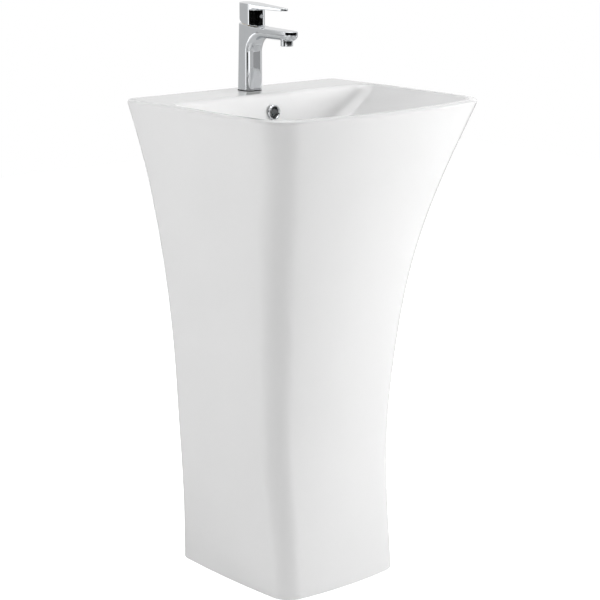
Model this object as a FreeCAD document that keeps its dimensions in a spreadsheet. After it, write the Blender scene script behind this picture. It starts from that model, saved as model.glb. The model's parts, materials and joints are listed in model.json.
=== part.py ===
import FreeCAD, Part
import math
import os
import re

import Sketcher

# A one-piece vitreous china pedestal basin with a single-lever mixer, push waste and bottle trap.
# Frame: +Z up, X across, the flat wall face at the greatest Y, the origin at the middle of the base.
# Driving dimensions, in millimetres, degrees where the name says so.
SIZES = {
    # china: overall form
    "rim_height": 850,
    "rim_width": 483,
    "rim_depth": 427,
    "foot_width": 277,
    "foot_depth": 309,
    "side_bow": 6,
    "front_bow_foot": 12.5,
    "front_bow_rim": 35,
    "front_corner_foot": 40,
    "front_corner_rim": 64,
    "back_corner_foot": 22,
    "back_corner_rim": 12.5,
    "china_wall": 12,
    "deck_wall": 15,
    "lip_width": 12.5,
    "rim_round": 5,
    "rim_swell": 2,
    "back_grinding": 0.3,
    "lip_round": 4.5,
    # china: bowl
    "deck_depth": 106,
    "bowl_depth": 118,
    "bowl_floor_width": 150,
    "bowl_floor_length": 153.5,
    "bowl_floor_back": 55,
    "bowl_corner_rim": 34,
    "bowl_corner_floor": 62,
    "bowl_floor_wall": 14,
    # china: openings
    "rear_opening_width": 190,
    "rear_opening_drop": 70,
    "wall_bolt_spacing": 280,
    "wall_bolt_drop": 90,
    "wall_bolt_hole_radius": 7,
    "waste_setback": 243.5,
    "waste_hole_radius": 23,
    "waste_hub_radius": 42,
    "waste_hub_length": 46,
    "tap_setback": 48.5,
    "tap_hole_radius": 15.5,
    # china: overflow
    "overflow_drop": 33,
    "overflow_setback": 112,
    "overflow_hole_radius": 11.4,
    "overflow_duct_width": 32,
    "overflow_duct_depth": 10,
    "overflow_duct_wall": 8,
    "overflow_duct_setback": 86,
    # overflow ring
    "overflow_ring_radius": 13.6,
    "overflow_ring_bore": 9.8,
    "overflow_ring_thickness": 3,
    "overflow_sleeve_length": 16,
    "overflow_ring_bevel": 1,
    # clearances
    "gap": 0.4,
    "running_clearance": 0.05,
    # push waste
    "waste_flange_radius": 32,
    "waste_flange_thickness": 3,
    "waste_flange_bevel": 5,
    "waste_tail_radius": 21,
    "waste_tail_bore": 18.4,
    "waste_tail_length": 92,
    "waste_slot_width": 20,
    "waste_slot_height": 10,
    "spider_width": 6,
    "spider_height": 10,
    "spider_drop": 30,
    "spider_hub_wall": 3,
    "seal_thickness": 2,
    "top_seal_inset": 2,
    "bottom_seal_thickness": 6,
    "bottom_seal_margin": 8,
    "bottom_seal_taper": 3,
    "backnut_radius": 32,
    "backnut_height": 12,
    "backnut_corner": 1,
    "clicker_radius": 8,
    "clicker_wall": 2,
    "clicker_length": 30,
    "plunger_radius": 3.5,
    "plunger_collar_radius": 5.5,
    "plunger_collar_height": 3,
    "plunger_length": 40,
    "cap_radius": 31,
    "cap_thickness": 4,
    "cap_bevel": 1.2,
    "cap_shoulder": 2,
    "cap_shoulder_rise": 0.8,
    "cap_dome": 0.6,
    "cap_boss_wall": 4,
    "cap_boss_height": 6,
    "cap_seal_inset": 2,
    "cap_seal_margin": 0.5,
    "cap_travel": 8,
    "spring_wire_radius": 0.5,
    "spring_radius": 4.6,
    "spring_turns": 6,
    # bottle trap
    "union_nut_radius": 28,
    "union_nut_height": 24,
    "trap_neck_radius": 18.5,
    "trap_flange_radius": 21,
    "trap_flange_thickness": 4,
    "trap_neck_length": 74,
    "trap_bottle_radius": 31,
    "trap_bottle_length": 96,
    "trap_wall": 2.5,
    "dip_tube_radius": 15.8,
    "dip_tube_wall": 1.8,
    "cup_radius": 35,
    "cup_height": 44,
    "cup_overlap": 16,
    "cup_bevel": 6,
    "outlet_pipe_radius": 16,
    "outlet_pipe_wall": 2,
    "outlet_stub_length": 24,
    "outlet_nut_radius": 23,
    "outlet_nut_length": 20,
    "outlet_drop": 29,
    "washer_thickness": 3,
    # tap body
    "tap_width": 35,
    "tap_back": 18,
    "tap_back_foot": 22,
    "tap_front": 18,
    "tap_corner": 14,
    "tap_seat_height": 116,
    "tap_seat_tilt_degrees": 6.5,
    "tap_seat_reach": 33,
    "spout_reach": 121,
    "spout_tip_height": 109.5,
    "spout_tip_width": 26,
    "spout_tip_thickness": 16.5,
    "spout_root_thickness": 17,
    "spout_underside_radius": 28,
    "spout_edge_round": 11,
    "spout_bore_radius": 4.5,
    "gasket_thickness": 1.5,
    "gasket_inset": 0.5,
    "gasket_lap": 2,
    "inlet_thread_radius": 5,
    "inlet_spacing": 14,
    "inlet_depth": 16,
    "water_way_radius": 3,
    # aerator
    "aerator_reach": 99,
    "aerator_radius": 10.8,
    "aerator_height": 9,
    "aerator_bore": 8.6,
    "aerator_thread_depth": 1,
    "aerator_lip": 1.2,
    "aerator_bevel": 0.8,
    "aerator_floor": 2,
    "aerator_slot_pitch": 2.4,
    "aerator_slot_width": 1.2,
    "aerator_slot_margin": 2,
    "aerator_slots_each_side": 2,
    "aerator_neck_height": 5,
    "aerator_insert_height": 6,
    # cartridge, measured down its own tilted axis from the seat plane of the body
    "cartridge_radius": 12.6,
    "cartridge_bore": 13.7,
    "cartridge_nut_radius": 14.2,
    "cartridge_wall": 1.5,
    "cartridge_top": 6,
    "cartridge_base": 36,
    "cartridge_base_thickness": 3,
    "cartridge_water_room": 3,
    "cartridge_lid": 2,
    "disc_gap": 0.1,
    "disc_socket_rise": 1.1,
    "stem_foot_rise": 1.7,
    "carrier_gap": 0.5,
    "disc_thickness": 3,
    "fixed_disc_edge_gap": 0.3,
    "moving_disc_share": 0.739,
    "moving_disc_travel": 4.8,
    "carrier_edge_gap": 0.4,
    "carrier_neck_radius": 8.2,
    "stem_width": 5,
    "stem_depth": 6,
    "stem_pivot_drop": 12,
    "stem_lean_below": 5.4,
    "stem_lean_above": 3.6,
    "stem_rise": 22,
    "pin_radius": 1,
    "port_radius": 2.2,
    "port_spread": 5,
    "port_back": 3.5,
    "port_front": 5.5,
    # lever
    "lever_gap": 1.2,
    "lever_head_radius": 17,
    "lever_head_stretch": 14,
    "lever_head_back": 2,
    "lever_height": 37.5,
    "lever_tip_reach": 98,
    "lever_tip_width": 15,
    "lever_tip_thickness": 4.5,
    "lever_head_thickness": 9,
    "lever_relief_height": 9,
    "lever_hollow_radius": 12.5,
    "lever_hollow_height": 13,
    "lever_slope_degrees": 3,
    "screw_radius": 2,
    "screw_length": 8,
    "indicator_radius": 3,
    "indicator_thickness": 3,
    "indicator_height": 18,
    # tap fixing under the deck
    "stud_radius": 4,
    "stud_offset": 9,
    "stud_length": 62,
    "horseshoe_radius": 23,
    "horseshoe_slot": 26,
    "horseshoe_slot_start": 2,
    "horseshoe_rubber_thickness": 3,
    "horseshoe_metal_thickness": 2.5,
    "stud_nut_radius": 7.5,
    "stud_nut_height": 8,
}

# Stations up the china's outside: share of the rim height, then how far the width and
# the depth have gone from their foot size to their rim size.
FLARE = (
    (0.000, 0.000, 0.000),
    (0.141, 0.005, -0.073),
    (0.306, 0.072, -0.125),
    (0.471, 0.150, -0.015),
    (0.635, 0.301, 0.164),
    (0.776, 0.500, 0.434),
    (0.894, 0.730, 0.732),
    (1.000, 1.000, 1.000),
)
# Stations down the bowl: share of the bowl depth, then how far the sides, the back wall
# and the front wall have moved from the lip to the edge of the floor.
SCOOP = (
    (-0.05, 0.000, 0.000, 0.000),
    (0.00, 0.010, 0.010, 0.010),
    (0.20, 0.150, 0.060, 0.170),
    (0.45, 0.420, 0.150, 0.480),
    (0.74, 0.740, 0.440, 0.790),
    (1.00, 1.000, 1.000, 1.000),
)

# The share of the front's bow that the bowl loses by its floor, the back corners' share of the
# growth of the front corners, and the share of the wall taken off the hollow's back corners.
BOWL_BOW_LOSS = 0.8
BACK_CORNER_SHARE = 0.4
BACK_CORNER_INSET = 0.6
# Sections in the rolled lip of the bowl, and how far its lowest one stands inside the bowl's mouth.
NEAR = 0.1  # edges this close to a level or a plane lie on it
LIP_STEPS = 4
LIP_BITE = 0.6
# Sections along each turn of the spring's wire, and the sides of each section.
COIL_SECTIONS_PER_TURN = 12
COIL_SIDES = 8

doc = FreeCAD.newDocument("PedestalBasin")
sheet = doc.addObject("Spreadsheet::Sheet", "Sizes")
for row, (name, value) in enumerate(SIZES.items(), start=1):
    sheet.set(f"A{row}", name)
    sheet.set(f"B{row}", str(value))
    sheet.setAlias(f"B{row}", name)
doc.recompute()

NODES = []


def size(name):
    return float(getattr(sheet, name))


def bound(text):
    """An expression whose bare words are cells of the sheet."""
    return re.sub(r"\b([a-z][a-z_]+)\b(?!\()", r"Sizes.\1", str(text))


def value(text):
    return float(sheet.evalExpression(bound(text)))


def bind(thing, **sizes):
    for path, text in sizes.items():
        thing.setExpression(path, bound(text))


def put(thing, at, turn=None):
    """Places an object at three expressions, turned by a fixed rotation or a tilt expression."""
    if turn is not None:
        thing.Placement = FreeCAD.Placement(FreeCAD.Vector(), turn)
    for axis, text in zip("xyz", at):
        thing.setExpression(f"Placement.Base.{axis}", bound(text))
    return thing


def node(thing, name):
    thing.Label = name
    NODES.append(thing)
    return thing


def origin_plane(body, role):
    return next(item for item in body.Origin.OriginFeatures if item.Role == role)


def sketch_on(body, role, name):
    sketch = body.newObject("Sketcher::SketchObject", name)
    sketch.AttachmentSupport = [(origin_plane(body, role), "")]
    sketch.MapMode = "FlatFace"
    return sketch


def draw(sketch, corners):
    """A closed outline of straight lines whose corners are tied to the sheet."""
    places = [FreeCAD.Vector(value(x), value(y), 0) for x, y in corners]
    count = len(places)
    for i in range(count):
        sketch.addGeometry(Part.LineSegment(places[i], places[(i + 1) % count]))
    for i in range(count):
        sketch.addConstraint(Sketcher.Constraint("Coincident", i, 2, (i + 1) % count, 1))
    for i, corner in enumerate(corners):
        for kind, text, place in zip(("DistanceX", "DistanceY"), corner, (places[i].x, places[i].y)):
            index = sketch.addConstraint(Sketcher.Constraint(kind, -1, 1, i, 1, place))
            sketch.setExpression(f"Constraints[{index}]", bound(text))


def turned(name, corners, at=None, turn=None):
    """A body turned about its own Z axis; each corner is a radius and a height."""
    body = doc.addObject("PartDesign::Body", name)
    sketch = sketch_on(body, "XZ_Plane", name + "_section")
    draw(sketch, corners)
    spin = body.newObject("PartDesign::Revolution", name + "_turn")
    spin.Profile = sketch
    spin.ReferenceAxis = (sketch, ["V_Axis"])
    spin.Angle = 360
    sketch.Visibility = False
    if at:
        put(body, at, turn)
    return body


def ring(name, inner, outer, low, high, at=None, turn=None):
    return turned(name, [(inner, low), (outer, low), (outer, high), (inner, high)], at, turn)


def cylinder(name, radius, height, at, turn=None):
    rod = doc.addObject("Part::Cylinder", name)
    bind(rod, Radius=radius, Height=height)
    return put(rod, at, turn)


def block(name, sizes, at, turn=None):
    box = doc.addObject("Part::Box", name)
    bind(box, Length=sizes[0], Width=sizes[1], Height=sizes[2])
    return put(box, at, turn)


def less(name, base, *tools):
    """One solid with others cut away from it."""
    cut = doc.addObject("Part::Cut", name)
    cut.Base = base
    if len(tools) == 1:
        cut.Tool = tools[0]
    else:
        cut.Tool = joined(name + "_tools", *tools)
    return cut


def joined(name, *things):
    fuse = doc.addObject("Part::MultiFuse", name)
    fuse.Shapes = list(things)
    return fuse


def feature(name, shape):
    thing = doc.addObject("Part::Feature", name)
    thing.Shape = shape
    return thing


# Places shared by the pieces.
BACK = "rim_depth / 2"
TAP_Y = "rim_depth / 2 - tap_setback"
WASTE_Y = "rim_depth / 2 - waste_setback"
BOWL_FLOOR = "rim_height - bowl_depth"
WASTE_Z = "rim_height - bowl_depth + seal_thickness"
TAIL_END = "rim_height - bowl_depth + seal_thickness - waste_tail_length"
OVERFLOW_Z = "rim_height - overflow_drop"
OVERFLOW_Y = "rim_depth / 2 - overflow_setback"
DUCT_Y = "rim_depth / 2 - overflow_duct_setback"
OUTLET_Z = TAIL_END + " - washer_thickness - trap_neck_length - outlet_drop"
SEAT_Z = "rim_height + tap_seat_height"
TILT = "tap_seat_tilt_degrees * 1deg"
TO_BACK = FreeCAD.Rotation(FreeCAD.Vector(1, 0, 0), -90)
TO_FRONT = FreeCAD.Rotation(FreeCAD.Vector(1, 0, 0), 90)
TO_RIGHT = FreeCAD.Rotation(FreeCAD.Vector(0, 1, 0), 90)


def on_waste(height="0"):
    return ("0", WASTE_Y, f"{WASTE_Z} + {height}")


def on_tail(height="0"):
    return ("0", WASTE_Y, f"{TAIL_END} + {height}")


def on_seat(across="0", along="0", x="0"):
    """A place in the cartridge's tilted frame, whose origin is where its axis meets the seat."""
    return (
        x,
        f"{TAP_Y} + ({across}) * cos({TILT}) - ({along}) * sin({TILT})",
        f"{SEAT_Z} + ({across}) * sin({TILT}) + ({along}) * cos({TILT})",
    )


def lean(thing, extra=0):
    """Turns a piece about X with the seat, after a fixed quarter turn if it has one."""
    angle = value("tap_seat_tilt_degrees") + extra
    tilted = FreeCAD.Rotation(FreeCAD.Vector(1, 0, 0), angle)
    thing.Placement = FreeCAD.Placement(thing.Placement.Base, tilted)
    thing.setExpression("Placement.Rotation.Angle", bound(f"(tap_seat_tilt_degrees + {extra}) * 1deg"))
    return thing


# China.
def outline(z, half, front, back, side_bow, front_bow, front_corner, back_corner):
    """A level outline: straight back, bowed sides and front, round corners, all tangent."""
    corner_y = front + front_bow
    middle_y = (back + corner_y) / 2
    reach_y = (back - corner_y) / 2
    side_radius = (reach_y**2 + side_bow**2) / (2 * side_bow)
    front_radius = (half**2 + front_bow**2) / (2 * front_bow)
    side_centre = (half - side_radius, middle_y)
    front_centre = (0.0, front + front_radius)
    # front corner: a circle inside both arcs
    r1 = side_radius - front_corner
    r2 = front_radius - front_corner
    gap_x = front_centre[0] - side_centre[0]
    gap_y = front_centre[1] - side_centre[1]
    apart = math.hypot(gap_x, gap_y)
    along = (r1**2 - r2**2 + apart**2) / (2 * apart)
    offset = math.sqrt(r1**2 - along**2)
    corner_centre = (
        side_centre[0] + (along * gap_x + offset * gap_y) / apart,
        side_centre[1] + (along * gap_y - offset * gap_x) / apart,
    )
    # back corner: a circle inside the side arc that touches the back line
    back_y = back - back_corner
    back_x = side_centre[0] + math.sqrt((side_radius - back_corner) ** 2 - (back_y - middle_y) ** 2)

    def point(x, y):
        return FreeCAD.Vector(x, y, z)

    def towards(centre, radius, other):
        """The point of a circle on the line from its centre through another centre."""
        dx, dy = other[0] - centre[0], other[1] - centre[1]
        length = math.hypot(dx, dy)
        return (centre[0] + radius * dx / length, centre[1] + radius * dy / length)

    def mid_arc(centre, radius, a, b):
        angle_a = math.atan2(a[1] - centre[1], a[0] - centre[0])
        angle_b = math.atan2(b[1] - centre[1], b[0] - centre[0])
        angle = (angle_a + angle_b) / 2
        return (centre[0] + radius * math.cos(angle), centre[1] + radius * math.sin(angle))

    back_end = (back_x, back)
    side_back = towards(side_centre, side_radius, (back_x, back_y))
    side_front = towards(side_centre, side_radius, corner_centre)
    front_side = towards(front_centre, front_radius, corner_centre)
    side_mid = mid_arc(side_centre, side_radius, side_back, side_front)
    back_mid = mid_arc((back_x, back_y), back_corner, back_end, side_back)
    front_mid = mid_arc(corner_centre, front_corner, side_front, front_side)
    right = [back_end, back_mid, side_back, side_mid, side_front, front_mid, front_side]
    left = [(-x, y) for x, y in right]

    def arc(a, b, c):
        return Part.Arc(point(*a), point(*b), point(*c)).toShape()

    edges = [
        Part.LineSegment(point(*left[0]), point(*right[0])).toShape(),
        arc(*right[0:3]),
        arc(*right[2:5]),
        arc(*right[4:7]),
        arc(right[6], (0.0, front), left[6]),
        arc(left[6], left[5], left[4]),
        arc(left[4], left[3], left[2]),
        arc(left[2], left[1], left[0]),
    ]
    return Part.Wire(edges)


def flared_form(inset):
    """The china's outside, or the space within it when inset by the wall.

    The rim swells past its finished size, because rounding its edge takes that much off again."""
    swell = size("rim_swell")
    wires = []
    for height, side, front in FLARE:
        half = size("foot_width") / 2 + side * (size("rim_width") / 2 + swell - size("foot_width") / 2)
        depth = size("foot_depth") + front * (size("rim_depth") + swell - size("foot_depth"))
        back = size("rim_depth") / 2
        wires.append(
            outline(
                height * size("rim_height"),
                half - inset,
                back - depth + inset,
                back + size("back_grinding") - inset,
                size("side_bow"),
                size("front_bow_foot") + height * (size("front_bow_rim") - size("front_bow_foot")),
                size("front_corner_foot")
                + height * (size("front_corner_rim") - size("front_corner_foot"))
                - inset,
                size("back_corner_foot")
                + height * (size("back_corner_rim") - size("back_corner_foot"))
                - inset * BACK_CORNER_INSET,
            )
        )
    return Part.makeLoft(wires, True, False)


def mouth_sides():
    """Half width, front and back of the bowl's mouth."""
    half_depth = size("rim_depth") / 2
    return (
        size("rim_width") / 2 - size("lip_width"),
        -half_depth + size("lip_width"),
        half_depth - size("deck_depth"),
    )


def bowl_form(wall, floor_wall):
    """The hollow of the bowl, or its underside when grown by the wall."""
    rim_half, rim_front, rim_back = mouth_sides()
    floor_half = size("bowl_floor_width") / 2
    floor_back = rim_back - size("bowl_floor_back")
    floor_front = floor_back - size("bowl_floor_length")
    wires = []
    corner_growth = size("bowl_corner_floor") - size("bowl_corner_rim")
    for depth, side, back, front in SCOOP:
        wires.append(
            outline(
                size("rim_height") - depth * (size("bowl_depth") + floor_wall),
                rim_half + side * (floor_half - rim_half) + wall,
                rim_front + front * (floor_front - rim_front) - wall,
                rim_back + back * (floor_back - rim_back) + wall,
                size("side_bow"),
                size("front_bow_rim") * (1 - BOWL_BOW_LOSS * max(depth, 0)),
                size("bowl_corner_rim") + depth * corner_growth + wall,
                size("bowl_corner_rim") + depth * corner_growth * BACK_CORNER_SHARE + wall,
            )
        )
    return Part.makeLoft(wires, True, False)


def bowl_lip():
    """The flare that rolls the bowl's mouth over to the top of the rim."""
    half, front, back = mouth_sides()
    roll = size("lip_round")
    wires = []
    for step in range(LIP_STEPS + 1):
        angle = math.radians(90 * step / LIP_STEPS)
        grow = roll * (1 - math.sin(angle)) - LIP_BITE
        wires.append(
            outline(
                size("rim_height") - roll * (1 - math.cos(angle)),
                half + grow,
                front - grow,
                back + grow,
                size("side_bow"),
                size("front_bow_rim"),
                size("bowl_corner_rim") + grow,
                size("bowl_corner_rim") + grow,
            )
        )
    return Part.makeLoft(wires, True, False)


def rounded_outside():
    """The outside with its top edge rounded over and its back ground flat for the wall."""
    form = flared_form(0)
    top_edges = [edge for edge in form.Edges if edge.BoundBox.ZMin > size("rim_height") - NEAR]
    rounded = form.makeFillet(size("rim_round"), top_edges)
    wide = size("rim_width")
    deep = size("rim_depth")
    before_wall = Part.makeBox(
        2 * wide,
        2 * deep,
        2 * size("rim_height"),
        FreeCAD.Vector(-wide, deep / 2 - 2 * deep, -size("rim_height") / 2),
    )
    return rounded.common(before_wall)


def basin_hollow():
    """The space inside the pedestal: within the walls, under the deck, around the bowl."""
    under_deck = size("rim_height") - size("deck_wall")
    wide = size("rim_width")
    deep = size("rim_depth")
    room = Part.makeBox(2 * wide, 2 * deep, under_deck, FreeCAD.Vector(-wide, -deep, 0))
    space = flared_form(size("china_wall")).common(room)
    space = space.cut(bowl_form(size("china_wall"), size("bowl_floor_wall")))
    waste_y = value(WASTE_Y)
    floor = value(BOWL_FLOOR)
    hub = Part.makeCylinder(
        size("waste_hub_radius"),
        size("waste_hub_length"),
        FreeCAD.Vector(0, waste_y, floor - size("waste_hub_length")),
    )
    wall = size("overflow_duct_wall")
    width = size("overflow_duct_width") + 2 * wall
    duct_y = value(DUCT_Y)
    thick = size("overflow_duct_depth") + 2 * wall
    duct_low = duct_bottom() - wall
    rise = Part.makeBox(
        width,
        thick,
        under_deck - duct_low,
        FreeCAD.Vector(-width / 2, duct_y - wall - size("overflow_duct_depth") / 2, duct_low),
    )
    run = Part.makeBox(
        width,
        duct_y - waste_y,
        thick,
        FreeCAD.Vector(-width / 2, waste_y, duct_low),
    )
    return space.cut([hub, rise, run])


def duct_bottom():
    """The overflow duct enters the waste hub half way down."""
    return value(BOWL_FLOOR) - size("waste_hub_length") / 2 - size("overflow_duct_depth")


def overflow_duct():
    width = size("overflow_duct_width")
    thick = size("overflow_duct_depth")
    duct_y = value(DUCT_Y)
    waste_y = value(WASTE_Y)
    low = duct_bottom()
    top = value(OVERFLOW_Z) + size("overflow_hole_radius")
    rise = Part.makeBox(width, thick, top - low, FreeCAD.Vector(-width / 2, duct_y - thick / 2, low))
    run = Part.makeBox(width, duct_y - waste_y, thick, FreeCAD.Vector(-width / 2, waste_y, low))
    return rise.fuse(run).removeSplitter()


outside = feature("basin_outside", rounded_outside())
hollow = feature("basin_hollow_form", basin_hollow())
bowl = feature("basin_bowl_form", bowl_form(0, 0))
lip = feature("basin_lip_form", bowl_lip())
duct = feature("overflow_duct_form", overflow_duct())
waste_hole = cylinder(
    "waste_hole",
    "waste_hole_radius",
    "waste_hub_length + bowl_depth",
    ("0", WASTE_Y, f"{BOWL_FLOOR} - waste_hub_length - seal_thickness"),
)
tap_hole = cylinder(
    "tap_hole",
    "tap_hole_radius",
    "3 * deck_wall",
    ("0", TAP_Y, "rim_height - 2 * deck_wall"),
)
overflow_hole = cylinder(
    "overflow_hole",
    "overflow_hole_radius",
    f"({DUCT_Y}) - ({OVERFLOW_Y}) + overflow_ring_radius",
    ("0", f"{OVERFLOW_Y} - overflow_ring_radius", OVERFLOW_Z),
    TO_BACK,
)
overflow_seat = cylinder(
    "overflow_seat",
    "overflow_ring_radius + gap",
    "overflow_ring_radius",
    ("0", f"{OVERFLOW_Y} - overflow_ring_radius", OVERFLOW_Z),
    TO_BACK,
)
rear_opening = block(
    "rear_opening",
    ("rear_opening_width", "3 * china_wall", "rim_height - rear_opening_drop"),
    ("-rear_opening_width / 2", f"{BACK} - 2 * china_wall", "0"),
)
wall_holes = [
    cylinder(
        "wall_bolt_hole_" + side,
        "wall_bolt_hole_radius",
        "4 * china_wall",
        (f"{sign}wall_bolt_spacing / 2", f"{BACK} - 3 * china_wall", "rim_height - wall_bolt_drop"),
        TO_BACK,
    )
    for side, sign in (("left", "-"), ("right", ""))
]
china = less(
    "pedestal_basin",
    outside,
    hollow,
    bowl,
    lip,
    duct,
    waste_hole,
    tap_hole,
    overflow_hole,
    overflow_seat,
    rear_opening,
    *wall_holes,
)
node(china, "pedestal_basin")

# Overflow ring.
node(
    turned(
        "overflow_ring",
        [
            ("overflow_ring_bore", "-overflow_sleeve_length"),
            ("overflow_hole_radius - gap", "-overflow_sleeve_length"),
            ("overflow_hole_radius - gap", "0"),
            ("overflow_ring_radius", "0"),
            ("overflow_ring_radius", "overflow_ring_thickness / 2"),
            ("overflow_ring_radius - overflow_ring_bevel", "overflow_ring_thickness"),
            ("overflow_ring_bore + overflow_ring_bevel", "overflow_ring_thickness"),
            ("overflow_ring_bore", "overflow_ring_thickness / 2"),
        ],
        ("0", OVERFLOW_Y, OVERFLOW_Z),
        TO_FRONT,
    ),
    "overflow_ring",
)

# Push waste.
tail = turned(
    "waste_tail",
    [
        ("waste_tail_bore", "-waste_tail_length"),
        ("waste_tail_radius", "-waste_tail_length"),
        ("waste_tail_radius", "0"),
        ("waste_flange_radius", "0"),
        ("waste_flange_radius", "waste_flange_thickness / 3"),
        ("waste_flange_radius - waste_flange_bevel", "waste_flange_thickness"),
        ("waste_tail_bore", "waste_flange_thickness"),
    ],
    on_waste(),
)
slot_z = f"{BOWL_FLOOR} - waste_hub_length / 2 - overflow_duct_depth"
waste_slots = block(
    "waste_slots",
    ("waste_slot_width", "4 * waste_tail_radius", "waste_slot_height"),
    ("-waste_slot_width / 2", f"{WASTE_Y} - 2 * waste_tail_radius", slot_z),
)
spider_bar = block(
    "waste_spider_bar",
    ("2 * waste_tail_bore + waste_tail_radius - waste_tail_bore", "spider_width", "spider_height"),
    (
        "-waste_tail_bore - (waste_tail_radius - waste_tail_bore) / 2",
        f"{WASTE_Y} - spider_width / 2",
        f"{WASTE_Z} - spider_drop - spider_height",
    ),
)
spider_hub = cylinder(
    "waste_spider_hub", "clicker_radius + spider_hub_wall", "spider_height", on_waste(
        "(-spider_drop - spider_height)"
    )
)
clicker_hole = cylinder(
    "clicker_hole", "clicker_radius", "waste_tail_length", on_waste("(-waste_tail_length)")
)
shell = joined("waste_shell", less("waste_slotted", tail, waste_slots), spider_bar, spider_hub)
node(less("waste_body", shell, clicker_hole), "waste_body")
node(
    ring(
        "waste_top_seal",
        "waste_tail_radius + gap",
        "waste_flange_radius - top_seal_inset",
        "-seal_thickness",
        "0",
        on_waste(),
    ),
    "waste_top_seal",
)
HUB_END = "(-seal_thickness - waste_hub_length)"
node(
    turned(
        "waste_bottom_seal",
        [
            ("waste_tail_radius + gap", "-bottom_seal_thickness"),
            ("waste_hub_radius - bottom_seal_margin", "-bottom_seal_thickness"),
            ("waste_hub_radius - bottom_seal_margin + bottom_seal_taper", "0"),
            ("waste_tail_radius + gap", "0"),
        ],
        on_waste(HUB_END),
    ),
    "waste_bottom_seal",
)
nut_form = ring(
    "waste_backnut_ring",
    "waste_tail_radius + running_clearance",
    "backnut_radius",
    "-backnut_height",
    "0",
    on_waste(HUB_END + " - bottom_seal_thickness"),
)
nut_flats = doc.addObject("Part::Prism", "waste_backnut_flats")
nut_flats.Polygon = 8
bind(nut_flats, Circumradius="backnut_radius + backnut_corner", Height="backnut_height")
put(nut_flats, on_waste(HUB_END + " - bottom_seal_thickness - backnut_height"))
backnut = doc.addObject("Part::Common", "waste_backnut")
backnut.Base = nut_form
backnut.Tool = nut_flats
node(backnut, "waste_backnut")

# The clicker stands in the spider: a closed tube with a lip that keeps the plunger's collar in.
CLICKER_LOW = "(-spider_drop - spider_height - clicker_length / 3)"
CLICKER_TOP = CLICKER_LOW + " + clicker_length"
node(
    turned(
        "clicker_housing",
        [
            ("0", CLICKER_LOW),
            ("clicker_radius", CLICKER_LOW),
            ("clicker_radius", CLICKER_TOP),
            ("plunger_radius + gap", CLICKER_TOP),
            ("plunger_radius + gap", CLICKER_TOP + " - clicker_wall"),
            ("clicker_radius - clicker_wall", CLICKER_TOP + " - clicker_wall"),
            ("clicker_radius - clicker_wall", CLICKER_LOW + " + clicker_wall"),
            ("0", CLICKER_LOW + " + clicker_wall"),
        ],
        on_waste(),
    ),
    "clicker_housing",
)
COLLAR_TOP = CLICKER_TOP + " - clicker_wall - gap"
node(
    turned(
        "clicker_plunger",
        [
            ("0", COLLAR_TOP + " - plunger_collar_height"),
            ("plunger_collar_radius", COLLAR_TOP + " - plunger_collar_height"),
            ("plunger_collar_radius", COLLAR_TOP),
            ("plunger_radius", COLLAR_TOP),
            ("plunger_radius", COLLAR_TOP + " - plunger_collar_height + plunger_length"),
            ("0", COLLAR_TOP + " - plunger_collar_height + plunger_length"),
        ],
        on_waste(),
    ),
    "clicker_plunger",
)
CAP_LOW = "waste_flange_thickness + seal_thickness + gap + cap_travel"
node(
    turned(
        "waste_cap",
        [
            ("0", COLLAR_TOP + " - plunger_collar_height + plunger_length"),
            ("plunger_radius", COLLAR_TOP + " - plunger_collar_height + plunger_length"),
            ("plunger_radius", CAP_LOW + " - cap_boss_height"),
            ("plunger_radius + cap_boss_wall", CAP_LOW + " - cap_boss_height"),
            ("plunger_radius + cap_boss_wall", CAP_LOW),
            ("cap_radius", CAP_LOW),
            ("cap_radius", CAP_LOW + " + cap_bevel"),
            ("cap_radius - cap_shoulder", CAP_LOW + " + cap_thickness / 2 + cap_shoulder_rise"),
            ("cap_radius / 2", CAP_LOW + " + cap_thickness"),
            ("0", CAP_LOW + " + cap_thickness + cap_dome"),
        ],
        on_waste(),
    ),
    "waste_cap",
)
node(
    ring(
        "waste_cap_seal",
        "waste_tail_bore + cap_seal_inset",
        "waste_flange_radius - waste_flange_bevel - cap_seal_margin",
        CAP_LOW + " - seal_thickness",
        CAP_LOW,
        on_waste(),
    ),
    "waste_cap_seal",
)


def coil(low, high):
    """A compression spring between two heights, its wire drawn as eight-sided sections."""
    radius = size("spring_radius")
    wire = size("spring_wire_radius")
    turns = size("spring_turns")
    rise = high - low - 2 * wire
    count = round(turns * COIL_SECTIONS_PER_TURN)
    sections = []
    for step in range(count + 1):
        angle = 2 * math.pi * turns * step / count
        outward = FreeCAD.Vector(math.cos(angle), math.sin(angle), 0)
        onward = FreeCAD.Vector(-math.sin(angle), math.cos(angle), rise / (2 * math.pi * turns * radius))
        upward = outward.cross(onward).normalize()
        centre = outward * radius + FreeCAD.Vector(0, 0, low + wire + rise * step / count)
        corners = []
        for corner in range(COIL_SIDES):
            around = 2 * math.pi * corner / COIL_SIDES
            corners.append(
                centre + outward * (wire * math.cos(around)) + upward * (wire * math.sin(around))
            )
        sections.append(Part.makePolygon(corners + corners[:1]))
    spring = Part.makeLoft(sections, True, False)
    spring.translate(FreeCAD.Vector(0, value(WASTE_Y), value(WASTE_Z)))
    return spring


node(
    feature(
        "clicker_spring",
        coil(value(CLICKER_LOW + " + clicker_wall"), value(COLLAR_TOP + " - plunger_collar_height")),
    ),
    "clicker_spring",
)

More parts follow.
